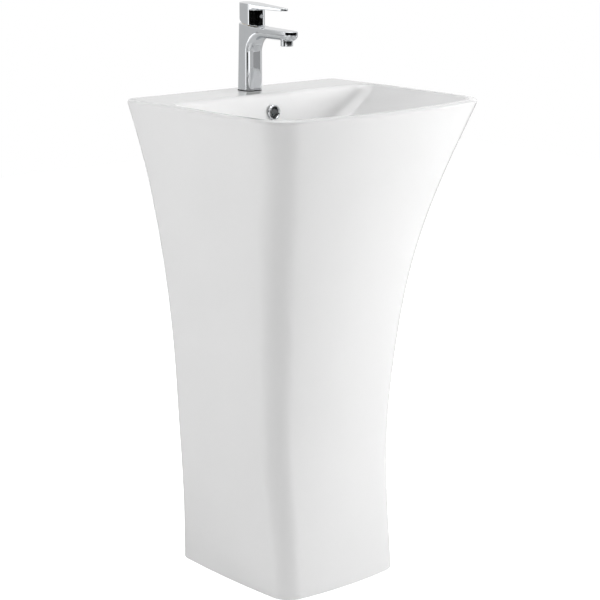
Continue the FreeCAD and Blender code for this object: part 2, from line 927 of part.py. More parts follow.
# Bottle trap.
node(
    ring(
        "trap_inlet_washer",
        "outlet_pipe_radius",
        "trap_flange_radius - gap",
        "-washer_thickness",
        "0",
        on_tail(),
    ),
    "trap_inlet_washer",
)
NECK_TOP = "(-washer_thickness - dip_tube_wall)"
SHOULDER = NECK_TOP + " - trap_neck_length"
BOTTLE_END = SHOULDER + " - trap_bottle_length"
bottle = turned(
    "trap_bottle",
    [
        ("outlet_pipe_radius", NECK_TOP),
        ("trap_flange_radius", NECK_TOP),
        ("trap_flange_radius", NECK_TOP + " - trap_flange_thickness"),
        ("trap_neck_radius", NECK_TOP + " - trap_flange_thickness"),
        ("trap_neck_radius", SHOULDER),
        ("trap_bottle_radius", SHOULDER + " - trap_wall * 2"),
        ("trap_bottle_radius", BOTTLE_END),
        ("trap_bottle_radius - trap_wall", BOTTLE_END),
        ("trap_bottle_radius - trap_wall", SHOULDER + " - trap_wall * 3"),
        ("outlet_pipe_radius", SHOULDER + " - trap_wall"),
    ],
    on_tail(),
)
OUTLET = SHOULDER + " - outlet_drop"
stub = cylinder(
    "trap_outlet_stub",
    "trap_neck_radius",
    "trap_bottle_radius + outlet_stub_length",
    on_tail(OUTLET),
    TO_BACK,
)
stub_bore = cylinder(
    "trap_outlet_bore",
    "outlet_pipe_radius + gap",
    "trap_bottle_radius + outlet_stub_length + 1",
    on_tail(OUTLET),
    TO_BACK,
)
bottle_room = cylinder(
    "trap_bottle_room",
    "trap_bottle_radius - trap_wall",
    "trap_bottle_length - trap_wall * 3",
    on_tail(BOTTLE_END),
)
stub_ring = less("trap_stub_ring", stub, bottle_room)
node(less("trap_body", joined("trap_shell", bottle, stub_ring), stub_bore), "trap_body")
node(
    turned(
        "trap_dip_tube",
        [
            ("dip_tube_radius - dip_tube_wall", BOTTLE_END + " + washer_thickness"),
            ("dip_tube_radius", BOTTLE_END + " + washer_thickness"),
            ("dip_tube_radius", NECK_TOP),
            ("trap_flange_radius - gap", NECK_TOP),
            ("trap_flange_radius - gap", "-washer_thickness"),
            ("dip_tube_radius - dip_tube_wall", "-washer_thickness"),
        ],
        on_tail(),
    ),
    "trap_dip_tube",
)
LIP_TOP = NECK_TOP + " - trap_flange_thickness"
node(
    turned(
        "trap_inlet_nut",
        [
            ("trap_neck_radius + gap", LIP_TOP + " - washer_thickness"),
            ("union_nut_radius", LIP_TOP + " - washer_thickness"),
            ("union_nut_radius", LIP_TOP + " - washer_thickness + union_nut_height"),
            (
                "waste_tail_radius + running_clearance",
                LIP_TOP + " - washer_thickness + union_nut_height",
            ),
            ("waste_tail_radius + running_clearance", "gap"),
            ("trap_flange_radius + gap", "gap"),
            ("trap_flange_radius + gap", LIP_TOP),
            ("trap_neck_radius + gap", LIP_TOP),
        ],
        on_tail(),
    ),
    "trap_inlet_nut",
)
CUP_TOP = BOTTLE_END + " + cup_overlap"
CUP_LOW = CUP_TOP + " - cup_height"
node(
    turned(
        "trap_cup",
        [
            ("0", CUP_LOW),
            ("cup_radius - cup_bevel", CUP_LOW),
            ("cup_radius", CUP_LOW + " + cup_bevel"),
            ("cup_radius", CUP_TOP),
            ("trap_bottle_radius + running_clearance", CUP_TOP),
            ("trap_bottle_radius + running_clearance", BOTTLE_END + " - seal_thickness"),
            ("trap_bottle_radius - trap_wall", BOTTLE_END + " - seal_thickness"),
            ("trap_bottle_radius - trap_wall", CUP_LOW + " + trap_wall + cup_bevel"),
            ("trap_bottle_radius - trap_wall - cup_bevel", CUP_LOW + " + trap_wall"),
            ("0", CUP_LOW + " + trap_wall"),
        ],
        on_tail(),
    ),
    "trap_cup",
)
node(
    ring(
        "trap_cup_seal",
        "trap_bottle_radius - trap_wall",
        "trap_bottle_radius",
        BOTTLE_END + " - seal_thickness",
        BOTTLE_END,
        on_tail(),
    ),
    "trap_cup_seal",
)
STUB_END = "trap_bottle_radius + outlet_stub_length"
node(
    ring(
        "trap_outlet_washer",
        "outlet_pipe_radius",
        "trap_neck_radius",
        STUB_END,
        STUB_END + " + washer_thickness",
        on_tail(OUTLET),
        TO_BACK,
    ),
    "trap_outlet_washer",
)
NUT_END = STUB_END + " + washer_thickness * 2"
node(
    turned(
        "trap_outlet_nut",
        [
            ("trap_neck_radius + running_clearance", NUT_END + " - outlet_nut_length"),
            ("outlet_nut_radius", NUT_END + " - outlet_nut_length"),
            ("outlet_nut_radius", NUT_END),
            ("outlet_pipe_radius + gap", NUT_END),
            ("outlet_pipe_radius + gap", STUB_END + " + washer_thickness"),
            ("trap_neck_radius + running_clearance", STUB_END + " + washer_thickness"),
        ],
        on_tail(OUTLET),
        TO_BACK,
    ),
    "trap_outlet_nut",
)
node(
    ring(
        "trap_outlet_pipe",
        "outlet_pipe_radius - outlet_pipe_wall",
        "outlet_pipe_radius",
        STUB_END + " - outlet_nut_length / 2",
        "waste_setback",
        on_tail(OUTLET),
        TO_BACK,
    ),
    "trap_outlet_pipe",
)

# Tap body.
def side_slab(points, width):
    """A solid of constant width across X from a closed outline of (y, z) points."""
    corners = [FreeCAD.Vector(-width / 2, y, z) for y, z in points]
    wire = Part.makePolygon(corners + corners[:1])
    return Part.Face(wire).extrude(FreeCAD.Vector(width, 0, 0))


def plan_slab(edges, low, high):
    """A solid of constant plan from closed edges drawn at z = 0."""
    slab = Part.Face(Part.Wire(edges)).extrude(FreeCAD.Vector(0, 0, high - low))
    slab.translate(FreeCAD.Vector(0, 0, low))
    return slab


def plan_lines(points):
    places = [FreeCAD.Vector(x, y, 0) for x, y in points]
    return [Part.LineSegment(a, b).toShape() for a, b in zip(places, places[1:])]


def plan_arc(points):
    return Part.Arc(*[FreeCAD.Vector(x, y, 0) for x, y in points]).toShape()


def edges_where(shape, test):
    return [edge for edge in shape.Edges if test(edge.BoundBox)]


def tap_body_form():
    """Column and spout as one casting, in a frame on the deck under the tap's axis."""
    low = size("gasket_thickness")
    slope = math.tan(math.radians(size("tap_seat_tilt_degrees")))
    seat = size("tap_seat_height")
    half = size("tap_width") / 2
    reach = size("tap_seat_reach")
    front = size("tap_front")
    tip = size("spout_reach")
    tip_half = size("spout_tip_width") / 2
    seat_end = seat - slope * reach
    under_root = seat_end - size("spout_root_thickness")
    outline_points = [
        (size("tap_back_foot"), low),
        (size("tap_back"), seat + slope * size("tap_back")),
        (-reach, seat_end),
        (-tip, size("spout_tip_height")),
        (-tip, size("spout_tip_height") - size("spout_tip_thickness")),
        (-front, under_root),
        (-front, low),
    ]
    side = side_slab(outline_points, 2 * half)
    throat = edges_where(
        side, lambda box: box.XLength > half and box.ZLength < NEAR and abs(box.ZMin - under_root) < NEAR
    )
    side = side.makeFillet(size("spout_underside_radius"), throat)
    back = edges_where(side, lambda box: box.YMin > 0 and box.ZLength > seat / 2)
    side = side.makeFillet(size("tap_corner"), back)
    under = edges_where(
        side,
        lambda box: box.XLength < NEAR
        and box.YMax < 0
        and box.ZMax < seat_end - 1
        and box.ZLength + box.YLength > size("spout_tip_thickness") + 1,
    )
    side = side.makeFillet(size("spout_edge_round"), under)
    nose_y = -tip + tip_half
    nose = plan_arc([(tip_half, nose_y), (0, -tip), (-tip_half, nose_y)])
    back_y = size("tap_back_foot") + 1
    left_flank = [(-tip_half, nose_y), (-half, -front), (-half, back_y)]
    right_flank = [(-x, y) for x, y in reversed(left_flank)]
    flanks = plan_lines(left_flank + right_flank)
    return side.common(plan_slab([nose, *flanks], 0, seat + 2 * half))


tap_form = feature("tap_body_form", tap_body_form())
tap_form.setExpression("Placement.Base.y", bound(TAP_Y))
tap_form.setExpression("Placement.Base.z", bound("rim_height"))
cartridge_bore = lean(
    cylinder(
        "cartridge_bore", "cartridge_bore", "2 * cartridge_base", on_seat("0", "(-cartridge_base)")
    )
)
nut_bore = lean(
    cylinder(
        "cartridge_nut_bore",
        "cartridge_nut_radius",
        "cartridge_base",
        on_seat("0", "(-cartridge_top)"),
    )
)
SPOUT_BORE_Z = "rim_height + spout_tip_height - spout_tip_thickness / 2"
spout_bore = cylinder(
    "spout_bore",
    "spout_bore_radius",
    "aerator_reach",
    ("0", TAP_Y, SPOUT_BORE_Z),
    TO_FRONT,
)
SPOUT_UNDER = "rim_height + spout_tip_height - spout_tip_thickness"
aerator_socket = cylinder(
    "aerator_socket",
    "aerator_bore + aerator_thread_depth",
    "spout_tip_thickness / 2 + aerator_neck_height",
    ("0", f"{TAP_Y} - aerator_reach", f"{SPOUT_UNDER} - aerator_neck_height"),
)
aerator_boss = cylinder(
    "aerator_boss",
    "aerator_radius",
    "aerator_neck_height",
    ("0", f"{TAP_Y} - aerator_reach", SPOUT_UNDER),
)
base_room = lean(
    cylinder(
        "cartridge_base_room",
        "cartridge_bore",
        "cartridge_water_room",
        on_seat("0", "(-cartridge_base - cartridge_water_room)"),
    )
)
inlets = []
for side_name, sign in (("left", "-"), ("right", "")):
    inlets.append(
        cylinder(
            f"inlet_{side_name}_thread",
            "inlet_thread_radius",
            "inlet_depth",
            (
                f"{sign}inlet_spacing / 2",
                f"{TAP_Y} + inlet_thread_radius",
                "rim_height + gasket_thickness",
            ),
        )
    )
    inlets.append(
        cylinder(
            f"inlet_{side_name}_way",
            "water_way_radius",
            "tap_seat_height - cartridge_base",
            (
                f"{sign}inlet_spacing / 2",
                f"{TAP_Y} + inlet_thread_radius",
                "rim_height + gasket_thickness",
            ),
        )
    )
stud_socket = cylinder(
    "stud_socket",
    "stud_radius",
    "inlet_depth",
    ("0", f"{TAP_Y} - stud_offset", "rim_height + gasket_thickness"),
)
node(
    less(
        "tap_body",
        joined("tap_casting", tap_form, aerator_boss),
        cartridge_bore,
        nut_bore,
        base_room,
        spout_bore,
        aerator_socket,
        stud_socket,
        *inlets,
    ),
    "tap_body",
)


def gasket_form():
    """A flat seal with the outline of the tap's foot."""
    half = size("tap_width") / 2 - size("gasket_inset")
    back = size("tap_back_foot") - size("gasket_inset")
    front = -size("tap_front") + size("gasket_inset")
    seal = Part.makeBox(
        2 * half,
        back - front,
        size("gasket_thickness"),
        FreeCAD.Vector(-half, front, 0),
    )
    upright = edges_where(seal, lambda box: box.ZLength > size("gasket_thickness") / 2)
    seal = seal.makeFillet(size("spout_edge_round"), upright)
    return seal.cut(
        Part.makeCylinder(size("tap_hole_radius") - size("gasket_lap"), size("gasket_thickness"))
    )


gasket = feature("tap_base_gasket", gasket_form())
gasket.setExpression("Placement.Base.y", bound(TAP_Y))
gasket.setExpression("Placement.Base.z", bound("rim_height"))
node(gasket, "tap_base_gasket")

# Aerator.
AERATOR = ("0", f"{TAP_Y} - aerator_reach", SPOUT_UNDER)
node(
    turned(
        "aerator_housing",
        [
            ("aerator_bore - aerator_lip", "-aerator_height"),
            ("aerator_radius - aerator_bevel", "-aerator_height"),
            ("aerator_radius", "-aerator_height + aerator_bevel"),
            ("aerator_radius", "-gap / 2"),
            ("aerator_bore + aerator_thread_depth - running_clearance", "-gap / 2"),
            ("aerator_bore + aerator_thread_depth - running_clearance", "aerator_neck_height"),
            ("aerator_bore", "aerator_neck_height"),
            ("aerator_bore", "-aerator_height + aerator_floor"),
            ("aerator_bore - aerator_lip", "-aerator_height + aerator_floor"),
        ],
        AERATOR,
    ),
    "aerator_housing",
)
INSERT_LOW = "-aerator_height + aerator_floor"
insert_form = ring(
    "aerator_insert_form",
    "0",
    "aerator_bore - running_clearance",
    INSERT_LOW,
    INSERT_LOW + " + aerator_insert_height",
    AERATOR,
)


def mesh_slots():
    """Narrow slots across the aerator's insert."""
    slots = []
    radius = size("aerator_bore")
    width = size("aerator_slot_width")
    rise = size("aerator_height")
    outermost = int(size("aerator_slots_each_side"))
    for i in range(-outermost, outermost + 1):
        y = i * size("aerator_slot_pitch")
        reach = math.sqrt(radius**2 - y**2) - size("aerator_slot_margin")
        corner = FreeCAD.Vector(-reach, y - width / 2, -rise)
        slots.append(Part.makeBox(2 * reach, width, 2 * rise, corner))
    return Part.makeCompound(slots)


slots = feature("aerator_slots", mesh_slots())
put(slots, AERATOR)
node(less("aerator_insert", insert_form, slots), "aerator_insert")
node(
    ring(
        "aerator_washer",
        "aerator_bore - seal_thickness",
        "aerator_bore - running_clearance",
        INSERT_LOW + " + aerator_insert_height",
        INSERT_LOW + " + aerator_insert_height + seal_thickness",
        AERATOR,
    ),
    "aerator_washer",
)

# Cartridge.
CARTRIDGE_ROOM = "cartridge_radius - cartridge_wall"
CARRIER_EDGE = CARTRIDGE_ROOM + " - carrier_edge_gap"
BASE_TOP = "-cartridge_base + cartridge_base_thickness"
cup_form = turned(
    "cartridge_housing_form",
    [
        ("cartridge_radius - cartridge_wall", BASE_TOP),
        ("cartridge_radius", BASE_TOP),
        ("cartridge_radius", "-cartridge_top"),
        ("carrier_neck_radius + gap", "-cartridge_top"),
        ("carrier_neck_radius + gap", "-cartridge_top - cartridge_lid"),
        ("cartridge_radius - cartridge_wall", "-cartridge_top - cartridge_lid"),
    ],
    on_seat(),
)
node(lean(cup_form), "cartridge_housing")


def port_holes(name, low, deep):
    """Hot, cold and mixed ports through a flat disc of the cartridge."""
    holes = []
    places = (
        ("port_back", "-port_spread"),
        ("port_back", "port_spread"),
        ("(-port_front)", "0"),
    )
    for i, (across, x) in enumerate(places):
        holes.append(lean(cylinder(f"{name}_port_{i}", "port_radius", deep, on_seat(across, low, x))))
    return holes


base_form = lean(
    cylinder(
        "cartridge_base_form",
        "cartridge_radius",
        "cartridge_base_thickness",
        on_seat("0", "(-cartridge_base)"),
    )
)
base_ports = port_holes("base", "(-cartridge_base - 1)", "cartridge_base_thickness + 2")
node(less("cartridge_base", base_form, *base_ports), "cartridge_base")
fixed_form = lean(
    cylinder("fixed_disc_form", CARTRIDGE_ROOM + " - fixed_disc_edge_gap", "disc_thickness", on_seat("0", f"({BASE_TOP})"))
)
fixed_ports = port_holes("fixed", f"({BASE_TOP} - 1)", "disc_thickness + 2")
node(less("fixed_ceramic_disc", fixed_form, *fixed_ports), "fixed_ceramic_disc")
MOVING_LOW = f"({BASE_TOP} + disc_thickness + disc_gap)"
moving_form = lean(
    cylinder(
        "moving_disc_form",
        f"({CARTRIDGE_ROOM}) * moving_disc_share",
        "disc_thickness",
        on_seat("moving_disc_travel / 2", MOVING_LOW),
    )
)
stem_pocket = lean(
    block(
        "moving_disc_pocket",
        ("stem_width + 2 * gap", "stem_depth + 2 * gap", "disc_thickness"),
        on_seat(
            "-stem_depth / 2 - gap",
            f"({BASE_TOP} + disc_thickness + disc_socket_rise)",
            "-stem_width / 2 - gap",
        ),
    )
)
node(less("moving_ceramic_disc", moving_form, stem_pocket), "moving_ceramic_disc")
node(
    lean(
        ring(
            "cartridge_nut",
            "carrier_neck_radius + 1",
            "cartridge_nut_radius - running_clearance",
            "-cartridge_top",
            "-carrier_gap",
            on_seat(),
        )
    ),
    "cartridge_nut",
)
CARRIER_LOW = f"({BASE_TOP} + 2 * disc_thickness + carrier_gap)"
carrier_form = lean(
    turned(
        "stem_carrier_form",
        [
            ("0", CARRIER_LOW),
            (CARRIER_EDGE, CARRIER_LOW),
            (CARRIER_EDGE, "-cartridge_top - cartridge_lid - gap"),
            ("carrier_neck_radius", "-cartridge_top - cartridge_lid - gap"),
            ("carrier_neck_radius", "-2"),
            ("0", "-2"),
        ],
        on_seat(),
    )
)
# The stem leans to the front below the pin and to the back above it when the lever is lifted.
carrier_slot_low = lean(
    block(
        "carrier_slot_low",
        (
            "stem_width + 2 * gap",
            "stem_depth + stem_lean_below + 2 * gap",
            "cartridge_base - stem_pivot_drop",
        ),
        on_seat("-stem_depth / 2 - stem_lean_below - gap", "(-cartridge_base)", "-stem_width / 2 - gap"),
    )
)
carrier_slot_high = lean(
    block(
        "carrier_slot_high",
        ("stem_width + 2 * gap", "stem_depth + stem_lean_above + 2 * gap", "2 * stem_pivot_drop"),
        on_seat("-stem_depth / 2 - gap", "(-stem_pivot_drop)", "-stem_width / 2 - gap"),
    )
)
carrier_pin_hole = cylinder(
    "carrier_pin_hole",
    "pin_radius",
    f"2 * ({CARRIER_EDGE})",
    on_seat("0", "(-stem_pivot_drop)", f"-({CARRIER_EDGE})"),
    TO_RIGHT,
)
node(
    less("stem_carrier", carrier_form, carrier_slot_low, carrier_slot_high, carrier_pin_hole),
    "stem_carrier",
)
node(
    cylinder(
        "stem_pin",
        "pin_radius",
        f"2 * ({CARRIER_EDGE}) - 2",
        on_seat("0", "(-stem_pivot_drop)", f"-({CARRIER_EDGE}) + 1"),
        TO_RIGHT,
    ),
    "stem_pin",
)
STEM_LOW = f"({BASE_TOP} + disc_thickness + stem_foot_rise)"
stem_form = lean(
    block(
        "cartridge_stem_form",
        ("stem_width", "stem_depth", f"stem_rise - {STEM_LOW}"),
        on_seat("-stem_depth / 2", STEM_LOW, "-stem_width / 2"),
    )
)
stem_hole = cylinder(
    "stem_pin_bore",
    "pin_radius + running_clearance",
    "2 * stem_width",
    on_seat("0", "(-stem_pivot_drop)", "-stem_width"),
    TO_RIGHT,
)
node(less("cartridge_stem", stem_form, stem_hole), "cartridge_stem")


# Lever.
def lever_form():
    """Head and paddle as one casting, in an upright frame at the seat's centre."""
    slope = math.tan(math.radians(size("tap_seat_tilt_degrees")))
    gap = size("lever_gap")
    radius = size("lever_head_radius")
    stretch = size("lever_head_stretch")
    offset = size("lever_head_back")
    back = radius + offset
    front = -stretch - radius
    top = size("lever_height")
    tip = -size("lever_tip_reach")
    tip_half = size("lever_tip_width") / 2
    tip_top = top - (back - tip) * math.tan(math.radians(size("lever_slope_degrees")))
    joint = top - size("lever_head_thickness")
    head_points = [
        (front, gap + slope * front),
        (0, gap),
        (back, gap + slope * back + size("lever_relief_height")),
        (back, top),
        (front, top - (back - front) * (top - tip_top) / (back - tip)),
    ]
    head_plan = [
        plan_arc([(radius, offset), (0, back), (-radius, offset)]),
        *plan_lines([(-radius, offset), (-radius, -stretch)]),
        plan_arc([(-radius, -stretch), (0, front), (radius, -stretch)]),
        *plan_lines([(radius, -stretch), (radius, offset)]),
    ]
    head = side_slab(head_points, 4 * radius).common(plan_slab(head_plan, -radius, 2 * top))
    paddle_points = [
        (0, joint),
        (0, top - back * (top - tip_top) / (back - tip)),
        (tip, tip_top),
        (tip, tip_top - size("lever_tip_thickness")),
    ]
    paddle_plan = [
        plan_arc([(-tip_half, tip + tip_half), (0, tip), (tip_half, tip + tip_half)]),
        *plan_lines([(tip_half, tip + tip_half), (radius, -stretch), (radius, 0), (-radius, 0)]),
        *plan_lines([(-radius, 0), (-radius, -stretch), (-tip_half, tip + tip_half)]),
    ]
    paddle = side_slab(paddle_points, 4 * radius).common(plan_slab(paddle_plan, 0, 2 * top))
    return head.fuse(paddle).removeSplitter()


lever_solid = feature("lever_form", lever_form())
put(lever_solid, on_seat())
lever_hollow = lean(
    cylinder(
        "lever_hollow",
        "lever_hollow_radius",
        "lever_hollow_height + lever_head_radius",
        on_seat("0", "-lever_head_radius"),
    )
)
stem_socket = lean(
    block(
        "lever_stem_socket",
        ("stem_width", "stem_depth", "stem_rise"),
        on_seat("-stem_depth / 2", "0", "-stem_width / 2"),
    )
)
FRONT = "lever_head_stretch + lever_head_radius"
AT_SCREW = "indicator_height"
screw_way = lean(
    cylinder(
        "lever_screw_way",
        "screw_radius",
        "2 * lever_head_radius",
        on_seat("-stem_depth / 2", AT_SCREW),
    ),
    90,
)
indicator_seat = lean(
    cylinder(
        "indicator_seat",
        "indicator_radius + running_clearance",
        "lever_head_radius",
        on_seat(f"-({FRONT}) + indicator_thickness", AT_SCREW),
    ),
    90,
)
node(
    less("lever_handle", lever_solid, lever_hollow, stem_socket, screw_way, indicator_seat),
    "lever_handle",
)
node(
    lean(
        cylinder(
            "lever_screw",
            "screw_radius - running_clearance",
            "screw_length",
            on_seat("-stem_depth / 2", AT_SCREW),
        ),
        90,
    ),
    "lever_screw",
)
node(
    lean(
        cylinder(
            "indicator_cap",
            "indicator_radius",
            "indicator_thickness",
            on_seat(f"-({FRONT}) + indicator_thickness", AT_SCREW),
        ),
        90,
    ),
    "indicator_cap",
)

# Tap fixing under the deck.
DECK_UNDER = "rim_height - deck_wall"
STUD_Y = f"{TAP_Y} - stud_offset"
node(
    cylinder(
        "fixing_stud",
        "stud_radius - running_clearance",
        "stud_length",
        ("0", STUD_Y, "rim_height + gasket_thickness + inlet_depth - stud_length"),
    ),
    "fixing_stud",
)


def horseshoe(name, thickness, top):
    """A plate with a slot to the back for the supply tails and a hole for the stud."""
    plate = cylinder(
        name + "_plate",
        "horseshoe_radius",
        thickness,
        ("0", TAP_Y, f"{top} - {thickness}"),
    )
    slot = block(
        name + "_slot",
        ("horseshoe_slot", "2 * horseshoe_radius", "2 * horseshoe_radius"),
        ("-horseshoe_slot / 2", f"{TAP_Y} - horseshoe_slot_start", f"{top} - horseshoe_radius"),
    )
    hole = cylinder(
        name + "_hole",
        "stud_radius + gap",
        "2 * horseshoe_radius",
        ("0", STUD_Y, f"{top} - horseshoe_radius"),
    )
    return less(name, plate, slot, hole)


node(horseshoe("horseshoe_rubber", "horseshoe_rubber_thickness", DECK_UNDER), "horseshoe_rubber")
METAL_TOP = f"{DECK_UNDER} - horseshoe_rubber_thickness"
node(horseshoe("horseshoe_washer", "horseshoe_metal_thickness", METAL_TOP), "horseshoe_washer")
NUT_LOW = f"{METAL_TOP} - horseshoe_metal_thickness - stud_nut_height"
nut_prism = doc.addObject("Part::Prism", "stud_nut_prism")
nut_prism.Polygon = 6
bind(nut_prism, Circumradius="stud_nut_radius", Height="stud_nut_height")
put(nut_prism, ("0", STUD_Y, NUT_LOW))
nut_hole = cylinder(
    "stud_nut_hole",
    "stud_radius",
    "2 * stud_nut_height",
    ("0", STUD_Y, f"{NUT_LOW} - stud_nut_height / 2"),
)
node(less("stud_nut", nut_prism, nut_hole), "stud_nut")

# Checks and files.
doc.recompute()
for thing in doc.Objects:
    if "Invalid" in thing.State or "Error" in thing.State:
        raise RuntimeError(f"{thing.Name} failed: {thing.State}")
for thing in NODES:
    if thing.Shape.isNull() or not thing.Shape.isValid():
        raise RuntimeError(f"{thing.Label} has no valid shape")
os.makedirs("parts", exist_ok=True)
for thing in NODES:
    thing.Shape.exportStep(f"parts/{thing.Label}.step")
    box = thing.Shape.BoundBox
    print(
        f"{thing.Label:22s} solids {len(thing.Shape.Solids)} volume {thing.Shape.Volume:12.1f} "
        f"x {box.XMin:.1f} {box.XMax:.1f} y {box.YMin:.1f} {box.YMax:.1f} z {box.ZMin:.1f} {box.ZMax:.1f}"
    )
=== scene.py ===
import json
import math

import bmesh
import bpy
import numpy as np
from mathutils import Matrix, Vector


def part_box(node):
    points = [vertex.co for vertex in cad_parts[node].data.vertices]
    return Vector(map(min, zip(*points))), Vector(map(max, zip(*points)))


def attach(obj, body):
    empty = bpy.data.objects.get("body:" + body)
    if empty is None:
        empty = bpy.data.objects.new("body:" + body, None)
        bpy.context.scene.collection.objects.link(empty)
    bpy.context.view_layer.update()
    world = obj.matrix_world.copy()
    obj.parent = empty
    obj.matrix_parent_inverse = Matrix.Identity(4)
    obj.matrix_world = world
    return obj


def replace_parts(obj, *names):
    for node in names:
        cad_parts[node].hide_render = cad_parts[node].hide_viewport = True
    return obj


print("loading the frame")
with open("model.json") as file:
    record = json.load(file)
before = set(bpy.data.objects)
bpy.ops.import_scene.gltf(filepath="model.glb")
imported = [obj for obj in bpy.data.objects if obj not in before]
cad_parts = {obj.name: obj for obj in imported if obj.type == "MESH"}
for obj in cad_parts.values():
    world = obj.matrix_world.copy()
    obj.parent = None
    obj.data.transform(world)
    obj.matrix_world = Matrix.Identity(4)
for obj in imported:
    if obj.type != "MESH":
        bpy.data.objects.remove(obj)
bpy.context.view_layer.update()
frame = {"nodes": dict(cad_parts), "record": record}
chinaLow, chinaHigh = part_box("pedestal_basin")
mm = 0.001


def srgb(hexText):
    channels = [int(hexText[i:i + 2], 16) / 255 for i in (0, 2, 4)]
    return [c / 12.92 if c <= 0.04045 else ((c + 0.055) / 1.055) ** 2.4 for c in channels] + [1.0]


def addNode(tree, kind, settings=None, links=None, at=(0, 0)):
    node = tree.nodes.new(kind)
    node.location = at
    for key, setting in (settings or {}).items():
        if isinstance(key, str) and hasattr(node, key):
            setattr(node, key, setting)
        else:
            node.inputs[key].default_value = setting
    for key, socket in (links or {}).items():
        tree.links.new(socket, node.inputs[key])
    return node


def newMaterial(name, **surface):
    material = bpy.data.materials.new(name)
    material.use_nodes = True
    tree = material.node_tree
    tree.nodes.clear()
    shader = addNode(tree, "ShaderNodeBsdfPrincipled", surface, at=(300, 0))
    addNode(tree, "ShaderNodeOutputMaterial", links={"Surface": shader.outputs[0]}, at=(600, 0))
    return material, tree, shader


def perMetre(sizeInMm):
    # noise scale whose features are about that size
    return 1000.0 / sizeInMm


def objectPlace(tree, stretch=(1, 1, 1)):
    place = addNode(tree, "ShaderNodeTexCoord", at=(-1200, 0))
    return addNode(tree, "ShaderNodeMapping", {"Scale": stretch},
                   {"Vector": place.outputs["Object"]}, (-1000, 0))


china = {
    "glaze": "F4F4F4",
    "glazeThin": "EFEFEF",
    "glazeIor": 1.5,
    "roughness": 0.045,
    "bodyIor": 1.52,
    "bodyRoughness": 0.35,
    "bodyShine": 0.25,                 # low, because the glaze over it takes most of its shine
    "poolMm": 160,
    "sagMm": 70,
    "sagDeep": 2.0,                    # mm
    "sagStrength": 0.06,
    "orangePeelMm": 9,                 # the real one is 2 to 3 mm, too fine to show
    "orangePeelDeep": 0.2,
    "orangePeelStrength": 0.05,
}


def vitreousChina():
    # slip cast clay under a sprayed white glaze, fired together: a clear hard gloss over a soft
    # white, with the slow waves of glaze that ran a little before it set, and a trace of orange peel
    coat = {"Coat Weight": 1.0, "Coat Roughness": china["roughness"], "Coat IOR": china["glazeIor"]}
    material, tree, shader = newMaterial(
        "glazedVitreousChina", Roughness=china["bodyRoughness"], IOR=china["bodyIor"],
        **{"Specular IOR Level": china["bodyShine"]}, **coat)
    place = objectPlace(tree)
    pools = addNode(tree, "ShaderNodeTexNoise", {"Scale": perMetre(china["poolMm"]), "Detail": 2.0},
                    {"Vector": place.outputs[0]}, (-800, 200))
    tint = addNode(tree, "ShaderNodeMix",
                   {"data_type": "RGBA", 6: srgb(china["glaze"]), 7: srgb(china["glazeThin"])},
                   {0: pools.outputs["Fac"]}, (0, 200))
    tree.links.new(tint.outputs[2], shader.inputs["Base Color"])
    sag = addNode(tree, "ShaderNodeTexNoise", {"Scale": perMetre(china["sagMm"]), "Detail": 1.0},
                  {"Vector": place.outputs[0]}, (-800, -100))
    peel = addNode(tree, "ShaderNodeTexNoise", {"Scale": perMetre(china["orangePeelMm"]), "Detail": 1.0},
                   {"Vector": place.outputs[0]}, (-800, -350))
    slow = addNode(tree, "ShaderNodeBump",
                   {"Strength": china["sagStrength"], "Distance": china["sagDeep"] * mm},
                   {"Height": sag.outputs["Fac"]}, (-400, -100))
    fine = addNode(tree, "ShaderNodeBump",
                   {"Strength": china["orangePeelStrength"], "Distance": china["orangePeelDeep"] * mm},
                   {"Height": peel.outputs["Fac"], "Normal": slow.outputs[0]}, (-200, -250))
    tree.links.new(fine.outputs[0], shader.inputs["Coat Normal"])
    return material


chrome = {
    "plate": "DADCDE",
    "plateWiped": "D2D5D8",
    "roughness": 0.045,
    "cloud": (0.7, 1.5),               # share of the roughness, cleanest to cloudiest
    "wipeMm": 14,
}


def platedChrome():
    # brass castings polished and chromium plated: a near mirror with a cool cast, and faint
    # cloudiness where it has been wiped
    material, tree, shader = newMaterial("polishedChromePlate", Metallic=1.0)
    place = objectPlace(tree)
    wipe = addNode(tree, "ShaderNodeTexNoise", {"Scale": perMetre(chrome["wipeMm"]), "Detail": 3.0},
                   {"Vector": place.outputs[0]}, (-700, 0))
    clean, cloudy = (chrome["roughness"] * share for share in chrome["cloud"])
    cloud = addNode(tree, "ShaderNodeMapRange", {3: clean, 4: cloudy}, {0: wipe.outputs["Fac"]}, (-400, 0))
    tree.links.new(cloud.outputs[0], shader.inputs["Roughness"])
    tint = addNode(tree, "ShaderNodeMix",
                   {"data_type": "RGBA", 6: srgb(chrome["plate"]), 7: srgb(chrome["plateWiped"])},
                   {0: wipe.outputs["Fac"]}, (-400, 250))
    tree.links.new(tint.outputs[2], shader.inputs["Base Color"])
    return material


grainWork = {
    "gloss": (0.8, 1.25),              # share of the roughness, glossiest to dullest
    "deep": 0.2,                       # mm
}


